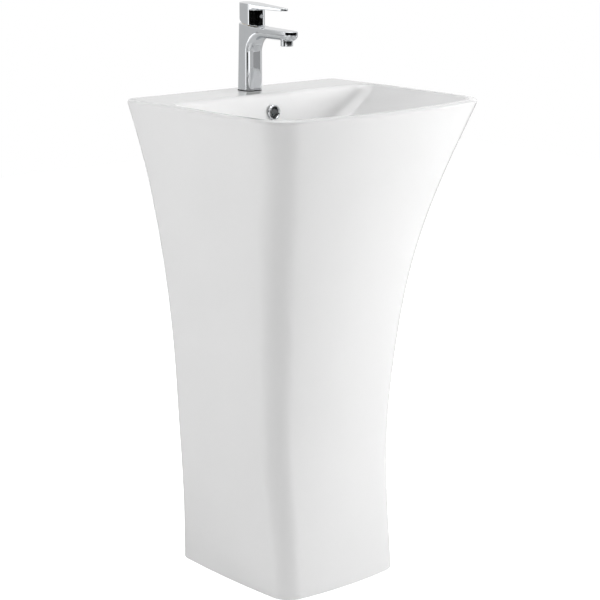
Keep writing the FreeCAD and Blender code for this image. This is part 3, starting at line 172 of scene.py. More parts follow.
def simpleFinish(name, dark, light, rough, grainMm, metallic=0.0, bump=0.1, stretch=(1, 1, 1), **more):
    # one grain that shows in the colour, the gloss and the relief
    material, tree, shader = newMaterial(name, Metallic=metallic, **more)
    place = objectPlace(tree, stretch)
    grain = addNode(tree, "ShaderNodeTexNoise", {"Scale": perMetre(grainMm), "Detail": 3.0},
                    {"Vector": place.outputs[0]}, (-800, 0))
    tint = addNode(tree, "ShaderNodeMix", {"data_type": "RGBA", 6: srgb(dark), 7: srgb(light)},
                   {0: grain.outputs["Fac"]}, (-300, 200))
    tree.links.new(tint.outputs[2], shader.inputs["Base Color"])
    glossy, dull = (rough * share for share in grainWork["gloss"])
    gloss = addNode(tree, "ShaderNodeMapRange", {3: glossy, 4: dull}, {0: grain.outputs["Fac"]}, (-300, -50))
    tree.links.new(gloss.outputs[0], shader.inputs["Roughness"])
    relief = addNode(tree, "ShaderNodeBump", {"Strength": bump, "Distance": grainWork["deep"] * mm},
                     {"Height": grain.outputs["Fac"]}, (-300, -250))
    tree.links.new(relief.outputs[0], shader.inputs["Normal"])
    return material


print("materials")
finishes = {
    "china": vitreousChina(),
    "chrome": platedChrome(),
    # EPDM seals: dull black with a dusty bloom
    "rubber": simpleFinish("mouldedEpdmRubber", "161616", "242424", 0.7, 1.5, bump=0.3, IOR=1.5),
    # moulded polypropylene waste fittings: milky white, satin from the mould
    "white_plastic": simpleFinish("mouldedPolypropylene", "E3E3DE", "EDEDE9", 0.38, 2.5, bump=0.15, IOR=1.49),
    # small ABS plug: neutral grey, polished
    "indicator_plastic": simpleFinish("mouldedAbsPlug", "8D9093", "9EA1A4", 0.2, 2.0, bump=0.05, IOR=1.53),
    # turned brass: warm, with fine tool marks round the axis
    "brass": simpleFinish("turnedBrass", "B3924C", "C9A961", 0.28, 1.2,
                          metallic=1.0, bump=0.12, stretch=(1, 1, 12)),
    # zinc plated steel studs and pins: grey, a little cloudy
    "steel": simpleFinish("zincPlatedSteel", "A6A8AB", "BFC1C3", 0.32, 1.0, metallic=1.0, bump=0.15),
    # lapped alumina discs: ivory, smooth and close
    "disc_ceramic": simpleFinish("lappedAlumina", "E4E1D8", "EEECE5", 0.25, 1.0, bump=0.05, IOR=1.7),
}
slotOf = {row["node"]: row["material_slot"] for row in frame["record"]["subparts"]}
for name, cadNode in frame["nodes"].items():
    cadNode.data.materials.clear()
    cadNode.data.materials.append(finishes[slotOf[name]])


def naturalCurve(stops, values):
    # natural cubic through the stops; the curve's slope comes second
    x, y = np.array(stops, float), np.array(values, float)
    count = len(x)
    h = np.diff(x)
    rows, right = np.eye(count), np.zeros(count)
    for i in range(1, count - 1):
        rows[i, i - 1:i + 2] = h[i - 1], 2 * (h[i - 1] + h[i]), h[i]
        right[i] = 6 * ((y[i + 1] - y[i]) / h[i] - (y[i] - y[i - 1]) / h[i - 1])
    bend = np.linalg.solve(rows, right)

    def at(t):
        i = min(max(int(np.searchsorted(x, t)) - 1, 0), count - 2)
        a, b = x[i + 1] - t, t - x[i]
        lead = y[i] / h[i] - bend[i] * h[i] / 6
        trail = y[i + 1] / h[i] - bend[i + 1] * h[i] / 6
        place = (bend[i] * a ** 3 + bend[i + 1] * b ** 3) / (6 * h[i]) + lead * a + trail * b
        slope = (bend[i + 1] * b ** 2 - bend[i] * a ** 2) / (2 * h[i]) - lead + trail
        return place, slope
    return at


def newPiece(name, mesh, body, replaced):
    # stands in for one CAD piece, with its finish
    mesh.materials.append(finishes[slotOf[replaced]])
    piece = bpy.data.objects.new(name, mesh)
    bpy.context.scene.collection.objects.link(piece)
    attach(piece, body)
    return piece


def ringFaces(rings, around):
    # quads from each ring to the next, and from the last back to the first
    faces = []
    for i in range(rings):
        j = (i + 1) % rings
        for k in range(around):
            m = (k + 1) % around
            faces.append((i * around + k, j * around + k, j * around + m, i * around + m))
    return faces


def applyModifiers(piece):
    bpy.context.view_layer.update()
    ready = bpy.data.meshes.new_from_object(piece.evaluated_get(bpy.context.evaluated_depsgraph_get()))
    piece.modifiers.clear()
    old = piece.data
    piece.data = ready
    bpy.data.meshes.remove(old)


def smoothByAngle(piece, degrees):
    mesh = bmesh.new()
    mesh.from_mesh(piece.data)
    for face in mesh.faces:
        face.smooth = True
    for edge in mesh.edges:
        edge.smooth = not (len(edge.link_faces) == 2 and edge.calc_face_angle(0) > math.radians(degrees))
    mesh.to_mesh(piece.data)
    mesh.free()


# the china is one piece, pedestal and bowl together; all in mm
basin = {
    "foot": (138.5, 309.0),            # half width, depth
    "sideBow": 6.0,
    "frontBow": (12.5, 35.0),          # foot, rim
    "frontCorner": (40.0, 64.0),
    "backCorner": (22.0, 12.5),
    "footRound": 2.0,
    "rimRound": 5.0,
    "swell": 1.91,                     # taken off again by the rounded rim
    "wall": 12.0,
    "backCornerLoss": 0.6,             # share of the wall that comes off the back corner's inside
    "deckWall": 15.0,
    "rimWall": 25.0,                   # at the sides and front the hollow stops this far down
    "hollowRise": (60.0, 100.0),       # and it rises to the deck between these places
    "lip": 12.5,
    "deckDepth": 106.0,
    "mouthRound": {"side": 5.5, "back": 9.0, "front": 5.5},
    "lipShare": 0.02,                  # down to this share of the depth, the lip's rounding
    "lipSlopeShare": 0.05,             # takes the wall's slope from here
    "mouthCorner": (50.0, 62.0),       # lip, floor
    "mouthBackCorner": (34.0, 45.0),
    "bowlDepth": 118.0,
    "bowlBowLoss": 0.8,                # share of the front's bow that is gone at the floor
    "floorHalf": 75.0,
    "floorFront": 100.0,
    "floorBack": 55.0,
    "underFloor": 14.0,
    "wasteFromWall": 243.5,
    "wasteHole": 23.0,
    "wasteEdge": 1.0,
    "wasteSeat": 32.0,
    "hub": (42.0, 46.0),               # radius, length
    "crease": 38.0,                    # degrees; sharper edges stay crisp
}
# height share, then how far the half width and the depth are from foot size to rim size
flare = [
    (0.000, 0.000, 0.000), (0.141, 0.005, -0.073), (0.306, 0.072, -0.125), (0.471, 0.150, -0.015),
    (0.635, 0.301, 0.164), (0.776, 0.500, 0.434), (0.894, 0.730, 0.732), (1.000, 1.000, 1.000),
]
# depth share, then how far the sides, back and front are from lip to floor
scoop = [
    (0.00, 0.010, 0.010, 0.010), (0.20, 0.150, 0.060, 0.170), (0.45, 0.420, 0.150, 0.480),
    (0.74, 0.740, 0.440, 0.790), (1.00, 1.000, 1.000, 1.000),
]
# how closely the china is drawn
chinaRings = {
    "around": (13, 8, 22, 14, 16),     # half back, back corner, side, front corner, half front
    "foot": 5,
    "flare": 64,
    "underRim": (14.0, 11.0, 9.0, 7.5),
    "rim": 15,
    "rimStart": -22,                   # degrees
    "lipTop": (0.12, 0.3, 0.5, 0.7, 0.88),
    "mouth": 12,
    "mouthTurn": (8, 84),
    "bowl": 44,
    "bowlStart": 9.3,
    "floor": 9,
    "underside": (40, 16),             # stops along each line, rings
    "inside": (60, 24),
}
rimHalf = chinaHigh.x / mm
rimFront, wallY = chinaLow.y / mm, chinaHigh.y / mm
rimZ = chinaHigh.z / mm
rimDepth = wallY - rimFront
wasteY = wallY - basin["wasteFromWall"]
flareShares = [stop[0] for stop in flare]
flareSide = naturalCurve(flareShares, [stop[1] for stop in flare])
flareFront = naturalCurve(flareShares, [stop[2] for stop in flare])
scoopCurves = {
    direction: naturalCurve([stop[0] for stop in scoop], [stop[column] for stop in scoop])
    for column, direction in ((1, "side"), (2, "back"), (3, "front"))
}


def mix(pair, share):
    return pair[0] + (pair[1] - pair[0]) * share


def arc(centre, radius, start, end, count):
    angles = np.linspace(start, end, count, endpoint=False)
    return [centre + radius * np.array([math.cos(a), math.sin(a)]) for a in angles]


def bearingTo(start, end):
    d = end - start
    return math.atan2(d[1], d[0])


def outlinePoints(half, front, back, frontBow, frontCorner, backCorner):
    # a level outline, from the middle of the back round the right side and back along the left
    sideBow = basin["sideBow"]
    cornerY = front + frontBow
    middleY, reachY = (back + cornerY) / 2, (back - cornerY) / 2
    sideR = (reachY ** 2 + sideBow ** 2) / (2 * sideBow)
    frontR = (half ** 2 + frontBow ** 2) / (2 * frontBow)
    sideC, frontC = np.array([half - sideR, middleY]), np.array([0.0, front + frontR])
    # the front corner's arc touches the side's arc and the front's arc from inside
    gap = frontC - sideC
    apart = np.linalg.norm(gap)
    r1, r2 = sideR - frontCorner, frontR - frontCorner
    along = (r1 ** 2 - r2 ** 2 + apart ** 2) / (2 * apart)
    offset = math.sqrt(r1 ** 2 - along ** 2)
    across = np.array([gap[1], -gap[0]]) / apart
    cornerC = sideC + gap / apart * along + across * offset
    backY = back - backCorner
    backC = np.array([sideC[0] + math.sqrt((sideR - backCorner) ** 2 - (backY - middleY) ** 2), backY])

    nBack, nBackCorner, nSide, nFrontCorner, nFront = chinaRings["around"]
    sideStart, sideEnd = bearingTo(sideC, backC), bearingTo(sideC, cornerC)
    frontStart = bearingTo(frontC, cornerC)
    right = [np.array([x, back]) for x in np.linspace(0, backC[0], nBack, endpoint=False)]
    right += arc(backC, backCorner, math.pi / 2, sideStart, nBackCorner)
    right += arc(sideC, sideR, sideStart, sideEnd, nSide)
    right += arc(cornerC, frontCorner, sideEnd, frontStart, nFrontCorner)
    right += arc(frontC, frontR, frontStart, -math.pi / 2, nFront)
    left = [np.array([-p[0], p[1]]) for p in reversed(right[1:])]
    return right + [np.array([0.0, front])] + left


def roundOver(z, reach, slope, radius):
    # how far out a wall leaning outward by slope stands at z once its top edge is rounded
    lean = math.atan(slope)
    centre = -radius * (1 + math.sin(lean)) / math.cos(lean)
    drop = z - (rimZ - radius)
    if drop > -radius * math.sin(lean):
        return reach + centre + math.sqrt(max(radius ** 2 - drop ** 2, 0))
    return None


def outsideRing(z, inset=0.0):
    # the flared outside at a height, or the inside of its wall
    share = z / rimZ
    footHalf, footDepth = basin["foot"]
    topHalf, topDepth = rimHalf + basin["swell"], rimDepth + basin["swell"]
    half = footHalf + flareSide(share)[0] * (topHalf - footHalf)
    depth = footDepth + flareFront(share)[0] * (topDepth - footDepth)
    back = wallY
    if not inset:
        radius = basin["rimRound"]
        slopeSide = flareSide(1.0)[1] * (topHalf - footHalf) / rimZ
        slopeFront = flareFront(1.0)[1] * (topDepth - footDepth) / rimZ
        half = roundOver(z, topHalf, slopeSide, radius) or half
        depth = roundOver(z, topDepth, slopeFront, radius) or depth
        back = roundOver(z, wallY, 0.0, radius) or back
    if not inset and z < basin["footRound"]:
        r = basin["footRound"]
        pull = r - math.sqrt(max(r ** 2 - (r - z) ** 2, 0))
        half, depth, back = half - pull, depth - pull, back - pull
    return outlinePoints(
        half - inset, wallY - depth + inset, back - inset, mix(basin["frontBow"], share),
        mix(basin["frontCorner"], share) - inset,
        mix(basin["backCorner"], share) - inset * basin["backCornerLoss"])


def roundedLip(z, reach, slope, radius):
    # how far in a wall of the bowl stands at z once the lip above it is rounded
    lean = math.atan(slope)
    centre = -radius * (1 - math.sin(lean)) / math.cos(lean)
    rise = z - (rimZ - radius)
    if rise > radius * math.sin(lean):
        return centre + math.sqrt(max(radius ** 2 - rise ** 2, 0)) + scoop[0][1] * reach
    return None


def bowlRing(depthShare, grow=0.0, deeper=0.0):
    # the bowl at a share of its depth, and its height; grow and deeper give the back of its wall
    drop = basin["bowlDepth"] + deeper
    z = rimZ - depthShare * drop
    mouthHalf = rimHalf - basin["lip"]
    travel = {
        "side": mouthHalf - basin["floorHalf"],
        "back": basin["floorBack"],
        "front": basin["floorFront"],
    }
    inward = {}
    for direction, reach in travel.items():
        shift, slope = scoopCurves[direction](depthShare)
        inward[direction] = shift * reach
        if not grow:
            if depthShare <= basin["lipShare"]:
                slope = scoopCurves[direction](basin["lipSlopeShare"])[1]
            rounded = roundedLip(z, reach, slope * reach / drop, basin["mouthRound"][direction])
            if rounded is not None:
                inward[direction] = rounded
    half = mouthHalf - inward["side"] + grow
    back = wallY - basin["deckDepth"] - inward["back"] + grow
    front = rimFront + basin["lip"] + inward["front"] - grow
    frontBow = basin["frontBow"][1] * (1 - basin["bowlBowLoss"] * depthShare)
    ring = outlinePoints(half, front, back, frontBow, mix(basin["mouthCorner"], depthShare) + grow,
                         mix(basin["mouthBackCorner"], depthShare) + grow)
    return ring, z


def circleRing(like, radius):
    # points round the waste, each on the bearing of the ring it continues
    centre = np.array([0.0, wasteY])
    return [centre + (p - centre) / np.linalg.norm(p - centre) * radius for p in like]


def lifted(ring, z):
    return [(p[0], p[1], z) for p in ring]


def between(one, other, share):
    return [a + (b - a) * share for a, b in zip(one, other)]


def outsideHeights():
    heights = []
    for share in np.linspace(0, 1, chinaRings["foot"]):
        heights.append(basin["footRound"] * (1 - math.cos(share * math.pi / 2)))
    flareTop, *closer = (rimZ - fall for fall in chinaRings["underRim"])
    heights += list(np.linspace(basin["footRound"], flareTop, chinaRings["flare"])[1:])
    heights += closer
    for turn in np.radians(np.linspace(chinaRings["rimStart"], 90, chinaRings["rim"])):
        heights.append(rimZ - basin["rimRound"] + basin["rimRound"] * math.sin(turn))
    return heights


def bowlFalls():
    start, end = chinaRings["mouthTurn"]
    falls = [0.0]
    for turn in np.radians(np.linspace(start, end, chinaRings["mouth"])):
        falls.append(basin["mouthRound"]["back"] * (1 - math.cos(turn)))
    return falls + list(np.linspace(chinaRings["bowlStart"], basin["bowlDepth"], chinaRings["bowl"])[1:])


def hollowTop(line):
    # the hollow reaches up to the deck at the back and stops lower along the sides and front
    start, end = basin["hollowRise"]
    backness = min(max((line[-1][1] - start) / (end - start), 0), 1)
    return rimZ - mix((basin["rimWall"], basin["deckWall"]), backness)


def undersideLines():
    # lines up the back of the bowl's wall
    stops, _ = chinaRings["underside"]
    rings = [bowlRing(share, basin["wall"], basin["underFloor"]) for share in np.linspace(1.0, 0.0, stops)]
    return [[(ring[k][0], ring[k][1], z) for ring, z in rings] for k in range(len(rings[0][0]))]


def insideLines():
    # lines up the pedestal's inside; each ends on the point of the bowl it faces, which says how
    # high the hollow is there
    stops, _ = chinaRings["inside"]
    heights = np.linspace(0, rimZ - basin["deckWall"], stops)
    rings = [outsideRing(z, basin["wall"]) for z in heights]
    mouth, _ = bowlRing(0.0, basin["wall"], basin["underFloor"])
    return [[(ring[k][0], ring[k][1], z) for ring, z in zip(rings, heights)] + [(0, mouth[k][1], rimZ)]
            for k in range(len(mouth))]


def atHeights(lines, low, share):
    # a ring across the lines, at a share of the way up to the hollow's top
    ring = []
    for line in lines:
        z = low + (hollowTop(line) - low) * share
        stops = [p[2] for p in line]
        ring.append((np.interp(z, stops, [p[0] for p in line]), np.interp(z, stops, [p[1] for p in line]), z))
    return ring


def chinaForm():
    # one closed skin: up the outside, over the rim, down the bowl, through the waste, round the hollow
    rings = [lifted(outsideRing(z), z) for z in outsideHeights()]
    outer = outsideRing(rimZ)
    inner, _ = bowlRing(0.0)
    rings += [lifted(between(outer, inner, share), rimZ) for share in chinaRings["lipTop"]]
    rings += [lifted(*bowlRing(fall / basin["bowlDepth"])) for fall in bowlFalls()]
    floorRing, floorZ = bowlRing(1.0)
    seat = circleRing(floorRing, basin["wasteSeat"])
    for share in np.linspace(0, 1, chinaRings["floor"])[1:]:
        rings.append(lifted(between(floorRing, seat, share), floorZ))
    hubR, hubLength = basin["hub"]
    hole, edge = basin["wasteHole"], basin["wasteEdge"]
    for radius, z in ((hole + edge, floorZ), (hole, floorZ - edge), (hole, floorZ - hubLength),
                      (hubR, floorZ - hubLength)):
        rings.append(lifted(circleRing(floorRing, radius), z))
    under = undersideLines()
    for rise in np.linspace(0, 1, chinaRings["underside"][1]):
        rings.append(atHeights(under, floorZ - basin["underFloor"], rise))
    within = insideLines()
    for rise in np.linspace(1, 0, chinaRings["inside"][1]):
        rings.append(atHeights(within, 0.0, rise))
    points = [(x * mm, y * mm, z * mm) for ring in rings for x, y, z in ring]
    return points, ringFaces(len(rings), len(outer))


# openings cut through the fired form, all in mm; setbacks are from the wall, drops from the rim
openings = {
    "overflowDrop": 33.0,
    "overflowSetback": 112.0,
    "overflowHole": 11.4,
    "ringSeat": (14.0, 13.6),          # radius and depth of the flat the overflow ring sits on
    "duct": (32.0, 10.0, 8.0),         # width, depth, wall
    "ductSetback": 86.0,
    "ductFoot": 192.0,
    "ribFoot": 200.0,
    "ribLap": 4.0,                     # how far the rib runs up into the deck
    "tapHole": 15.5,
    "tapHoleDepth": 40.0,
    "tapSetback": 48.5,
    "rearHalf": 95.0,
    "rearTop": 780.0,
    "rearDepth": 24.0,
    "boltHole": 7.0,
    "boltHoleDepth": 36.0,
    "boltAcross": 140.0,
    "boltDrop": 90.0,
    "clearUp": 8.0,                    # how far a cut runs out past the deck or the foot
    "clearBack": 12.0,                 # and past the wall face
    "sides": 48,                       # facets round a hole
    "boltSides": 32,
}
ringY = wallY - openings["overflowSetback"]
ductY = wallY - openings["ductSetback"]
tapY = wallY - openings["tapSetback"]
overflowZ = rimZ - openings["overflowDrop"]


def drum(mesh, radius, start, end, sides=openings["sides"]):
    # a straight round solid between two places in mm
    start, end = Vector(start) * mm, Vector(end) * mm
    turn = (end - start).to_track_quat("Z", "Y").to_matrix().to_4x4()
    place = Matrix.Translation((start + end) / 2) @ turn
    bmesh.ops.create_cone(mesh, cap_ends=True, segments=sides, radius1=radius * mm, radius2=radius * mm,
                          depth=(end - start).length, matrix=place)


def slab(mesh, low, high):
    low, high = Vector(low) * mm, Vector(high) * mm
    size = high - low
    place = Matrix.Translation((low + high) / 2) @ Matrix.Diagonal((size.x, size.y, size.z, 1))
    bmesh.ops.create_cube(mesh, size=1, matrix=place)


def ductRib(mesh):
    # the swelling behind the bowl that carries the overflow down to the waste
    width, depth, wall = openings["duct"]
    half, reach = width / 2 + wall, depth / 2 + wall
    top = rimZ - basin["deckWall"] + openings["ribLap"]
    slab(mesh, (-half, ductY - reach, rimZ - openings["ribFoot"]), (half, ductY + reach, top))


def ductWay(mesh):
    width, depth, _ = openings["duct"]
    top = overflowZ + openings["overflowHole"]
    slab(mesh, (-width / 2, ductY - depth / 2, rimZ - openings["ductFoot"]),
         (width / 2, ductY + depth / 2, top))


def overflowHole(mesh):
    _, seatDepth = openings["ringSeat"]
    drum(mesh, openings["overflowHole"], (0, ringY - seatDepth, overflowZ), (0, ductY, overflowZ))


def ringSeat(mesh):
    radius, depth = openings["ringSeat"]
    drum(mesh, radius, (0, ringY - depth, overflowZ), (0, ringY, overflowZ))


def tapHole(mesh):
    drum(mesh, openings["tapHole"], (0, tapY, rimZ - openings["tapHoleDepth"]),
         (0, tapY, rimZ + openings["clearUp"]))


def rearOpening(mesh):
    half = openings["rearHalf"]
    slab(mesh, (-half, wallY - openings["rearDepth"], -openings["clearUp"]),
         (half, wallY + openings["clearBack"], openings["rearTop"]))


def boltHoles(mesh):
    z = rimZ - openings["boltDrop"]
    for x in (-openings["boltAcross"], openings["boltAcross"]):
        drum(mesh, openings["boltHole"], (x, wallY - openings["boltHoleDepth"], z),
             (x, wallY + openings["clearBack"], z), openings["boltSides"])


def carve(piece, operation, *shapes):
    mesh = bmesh.new()
    for drawShape in shapes:
        drawShape(mesh)
    data = bpy.data.meshes.new("tool")
    mesh.to_mesh(data)
    mesh.free()
    tool = bpy.data.objects.new("tool", data)
    bpy.context.scene.collection.objects.link(tool)
    cut = piece.modifiers.new("cut", "BOOLEAN")
    cut.operation = operation
    cut.object = tool
    cut.solver = "EXACT"
    cut.use_self = operation == "DIFFERENCE"
    applyModifiers(piece)
    bpy.data.objects.remove(tool)
    bpy.data.meshes.remove(data)


print("china")
chinaPoints, chinaFaces = chinaForm()
chinaMesh = bpy.data.meshes.new("glazedBasin")
chinaMesh.from_pydata(chinaPoints, [], chinaFaces)
chinaMesh.validate()
chinaPiece = newPiece("glazedBasin", chinaMesh, "pedestal", "pedestal_basin")
carve(chinaPiece, "UNION", ductRib)
carve(chinaPiece, "DIFFERENCE", ductWay)
carve(chinaPiece, "DIFFERENCE", overflowHole)
carve(chinaPiece, "DIFFERENCE", ringSeat, tapHole, rearOpening, boltHoles)
smoothByAngle(chinaPiece, basin["crease"])
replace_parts(chinaPiece, "pedestal_basin")
print("china faces", len(chinaPiece.data.polygons))


# the castings are forms: a function of place that is negative inside, and near a distance in mm
def roundedCommon(a, b, radius):
    # what is inside both, its new edge rounded
    inside = np.minimum(-radius, np.maximum(a, b))
    return inside + np.hypot(np.maximum(radius + a, 0), np.maximum(radius + b, 0))


def roundedSum(a, b, radius):
    # what is inside either, the corner between them filled
    outside = np.maximum(radius, np.minimum(a, b))
    return outside - np.hypot(np.maximum(radius - a, 0), np.maximum(radius - b, 0))


def beyond(y, z, a, b):
    # distance past the line from a to b, positive on its right
    dy, dz = b[0] - a[0], b[1] - a[1]
    return ((y - a[0]) * dz - (z - a[1]) * dy) / math.hypot(dy, dz)


casting = {
    "margin": (1.5, 2.5),              # grid cells left free before and after the form
    "passes": 6,                       # how often the points are drawn onto the surface
    "ease": 0.8,
    "probe": 0.02,                     # mm, to find the slope when drawing on
    "shadeProbe": 0.15,                # and when shading, where it smooths the grid out
    "flattest": 0.2,                   # least slope squared that is trusted
}


def slopeAt(form, points, probe):
    steps = probe * np.eye(3)
    return np.array([form(*(points + step).T) - form(*(points - step).T) for step in steps]).T / (2 * probe)


def surfaceCells(value):
    # one point in each grid cell that the surface crosses, and a face round each crossed grid edge
    cells = [n - 1 for n in value.shape]
    total, hits = np.zeros(cells + [3]), np.zeros(cells)
    quads = []
    for axis in range(3):
        one, two = (axis + 1) % 3, (axis + 2) % 3
        lower, upper = [slice(None)] * 3, [slice(None)] * 3
        lower[axis], upper[axis] = slice(0, -1), slice(1, None)
        before, after = value[tuple(lower)], value[tuple(upper)]
        crossed = np.argwhere((before < 0) != (after < 0))
        crossed = crossed[(crossed[:, one] > 0) & (crossed[:, two] > 0)]
        crossed = crossed[(crossed[:, one] < cells[one]) & (crossed[:, two] < cells[two])]
        a, b = before[tuple(crossed.T)], after[tuple(crossed.T)]
        spot = crossed.astype(float)
        spot[:, axis] += a / (a - b)
        corners = []
        for stepOne, stepTwo in ((-1, -1), (0, -1), (0, 0), (-1, 0)):
            cell = crossed.copy()
            cell[:, one] += stepOne
            cell[:, two] += stepTwo
            np.add.at(total, tuple(cell.T), spot)
            np.add.at(hits, tuple(cell.T), 1)
            corners.append(np.ravel_multi_index(tuple(cell.T), hits.shape))
        corners = np.array(corners).T
        corners[a > 0] = corners[a > 0][:, ::-1]
        quads.append(corners)
    used = np.flatnonzero(hits.ravel())
    index = np.full(hits.size, -1)
    index[used] = np.arange(len(used))
    return total.reshape(-1, 3)[used] / hits.ravel()[used, None], index[np.vstack(quads)]


def castingPiece(name, form, low, high, grain, place, body, replaced):
    # a closed mesh over the form's surface, its points drawn onto it and shaded by its slope
    before, after = casting["margin"]
    axes = [np.arange(a - before * grain, b + after * grain, grain) for a, b in zip(low, high)]
    points, faces = surfaceCells(form(*np.meshgrid(*axes, indexing="ij")))
    points = points * grain + np.array([axis[0] for axis in axes])
    home = points.copy()
    for _ in range(casting["passes"]):
        slope = slopeAt(form, points, casting["probe"])
        steep = np.maximum((slope ** 2).sum(1), casting["flattest"])
        points -= slope * (form(*points.T) / steep)[:, None] * casting["ease"]
        points = home + np.clip(points - home, -grain, grain)
    slope = slopeAt(form, points, casting["shadeProbe"])
    normals = slope / np.maximum(np.linalg.norm(slope, axis=1), 1e-6)[:, None]
    mesh = bpy.data.meshes.new(name)
    mesh.from_pydata([(Vector(p) + Vector(place)) * mm for p in points], [], faces.tolist())
    mesh.polygons.foreach_set("use_smooth", [True] * len(mesh.polygons))
    mesh.update()
    mesh.normals_split_custom_set_from_vertices([tuple(n) for n in normals])
    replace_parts(newPiece(name, mesh, body, replaced), replaced)
    print(name, "faces", len(mesh.polygons))


# in mm from the tap's axis on the deck; the spout points along -y
tap = {
    "footY": 22.0,                     # back of the foot
    "back": 18.0,
    "front": 18.0,
    "half": 17.5,
    "backCorner": 14.0,
    "low": 1.5,                        # the gasket's thickness
    "footEdge": 0.5,
    "seat": 116.0,
    "seatSlope": math.tan(math.radians(6.5)),
    "seatReach": 33.0,
    "spout": 121.0,
    "tipTop": 109.5,
    "tipHalf": 13.0,
    "tipThick": 16.5,
    "rootThick": 17.0,
    "throat": 28.0,
    "underRound": 11.0,
    "edge": 1.1,                       # polished edges
    "nutRadius": 14.2,
    "nutDepth": 6.0,
    "bore": 13.7,
    "boreDepth": 39.0,
    "boreEdge": 0.5,
    "aeratorReach": 99.0,
    "aeratorBoss": (10.8, 8.0, 0.8),   # radius, height, corner
    "aeratorBore": (9.6, 9.0),         # radius, depth
    "spare": (0.5, 1.0, 4.0),          # room left round the form: sides, ends, top
    "grain": 0.85,                     # size of a face
}


def tapBodyForm(x, y, z):
    seatEnd = tap["seat"] - tap["seatSlope"] * tap["seatReach"]
    underRoot = seatEnd - tap["rootThick"]
    tipLow = tap["tipTop"] - tap["tipThick"]
    column = -tap["front"] - y
    spoutUnder = beyond(y, z, (-tap["spout"], tipLow), (-tap["front"], underRoot))
    body = roundedSum(column, spoutUnder, tap["throat"])
    # plan: parallel flanks that draw in to the round nose
    noseY = -tap["spout"] + tap["tipHalf"]
    draw = np.clip((-tap["front"] - y) / (-tap["front"] - noseY), 0, 1)
    lean = (tap["half"] - tap["tipHalf"]) / (-tap["front"] - noseY)
    flank = (np.abs(x) - tap["half"] + draw * (tap["half"] - tap["tipHalf"])) / math.hypot(1, lean)
    nose = np.hypot(x, y - noseY) - tap["tipHalf"]
    body = roundedCommon(body, np.where(y < noseY, nose, flank), tap["underRound"])
    rear = beyond(y, z, (tap["back"], tap["seat"]), (tap["footY"], tap["low"]))
    body = roundedCommon(body, -rear, tap["backCorner"])
    seat = (z - tap["seat"] - tap["seatSlope"] * y) / math.hypot(1, tap["seatSlope"])
    spoutTop = beyond(y, z, (-tap["seatReach"], seatEnd), (-tap["spout"], tap["tipTop"]))
    body = roundedCommon(body, np.where(y < -tap["seatReach"], spoutTop, seat), tap["edge"])
    fromOutlet = np.hypot(x, y + tap["aeratorReach"])
    bossRadius, bossHeight, bossCorner = tap["aeratorBoss"]
    boss = np.maximum(fromOutlet - bossRadius, np.maximum(tipLow - z, z - tipLow - bossHeight))
    body = roundedSum(body, boss, bossCorner)
    body = roundedCommon(body, tap["low"] - z, tap["footEdge"])
    # the seat's bore for the cartridge and its nut
    reach = (y + tap["seatSlope"] * (z - tap["seat"])) / math.hypot(1, tap["seatSlope"])
    radius = np.where(seat > -tap["nutDepth"], tap["nutRadius"], tap["bore"])
    bore = np.maximum(np.hypot(x, reach) - radius, -tap["boreDepth"] - seat)
    body = roundedCommon(body, -bore, tap["boreEdge"])
    socketRadius, socketDepth = tap["aeratorBore"]
    socket = np.maximum(fromOutlet - socketRadius, z - tipLow - socketDepth)
    return np.maximum(body, -socket)


print("tap")
sideSpare, endSpare, topSpare = tap["spare"]
castingPiece("tapCasting", tapBodyForm,
             (-tap["half"] - sideSpare, -tap["spout"] - endSpare, tap["low"] - sideSpare),
             (tap["half"] + sideSpare, tap["footY"] + endSpare, tap["seat"] + topSpare),
             tap["grain"], (0.0, tapY, rimZ), "pedestal", "tap_body")

# in mm from the tap's axis on its seat
lever = {
    "gap": 1.2,
    "radius": 17.0,
    "stretch": 14.0,                   # the head's front is this far ahead of a round one
    "headBack": 2.0,
    "back": 19.0,
    "top": 37.5,
    "relief": 9.0,                     # how much more than the seat the sole lifts at the back
    "reach": 98.0,
    "tipHalf": 7.5,
    "tipThick": 4.5,
    "headThick": 9.0,
    "slope": math.tan(math.radians(3)),
    "edge": 1.2,
    "soleEdge": 0.5,
    "neck": 3.0,                       # hollow curve where the paddle leaves the head
    "hollow": (12.5, 13.0, 0.4),       # radius, height, edge
    "plug": (3.05, 18.0, 3.0),         # radius, height and depth of the small plug's seat
    "spare": (1.0, 1.0, 1.5),          # sides, ends, top
    "soleSpare": 4.0,
    "grain": 0.8,
}


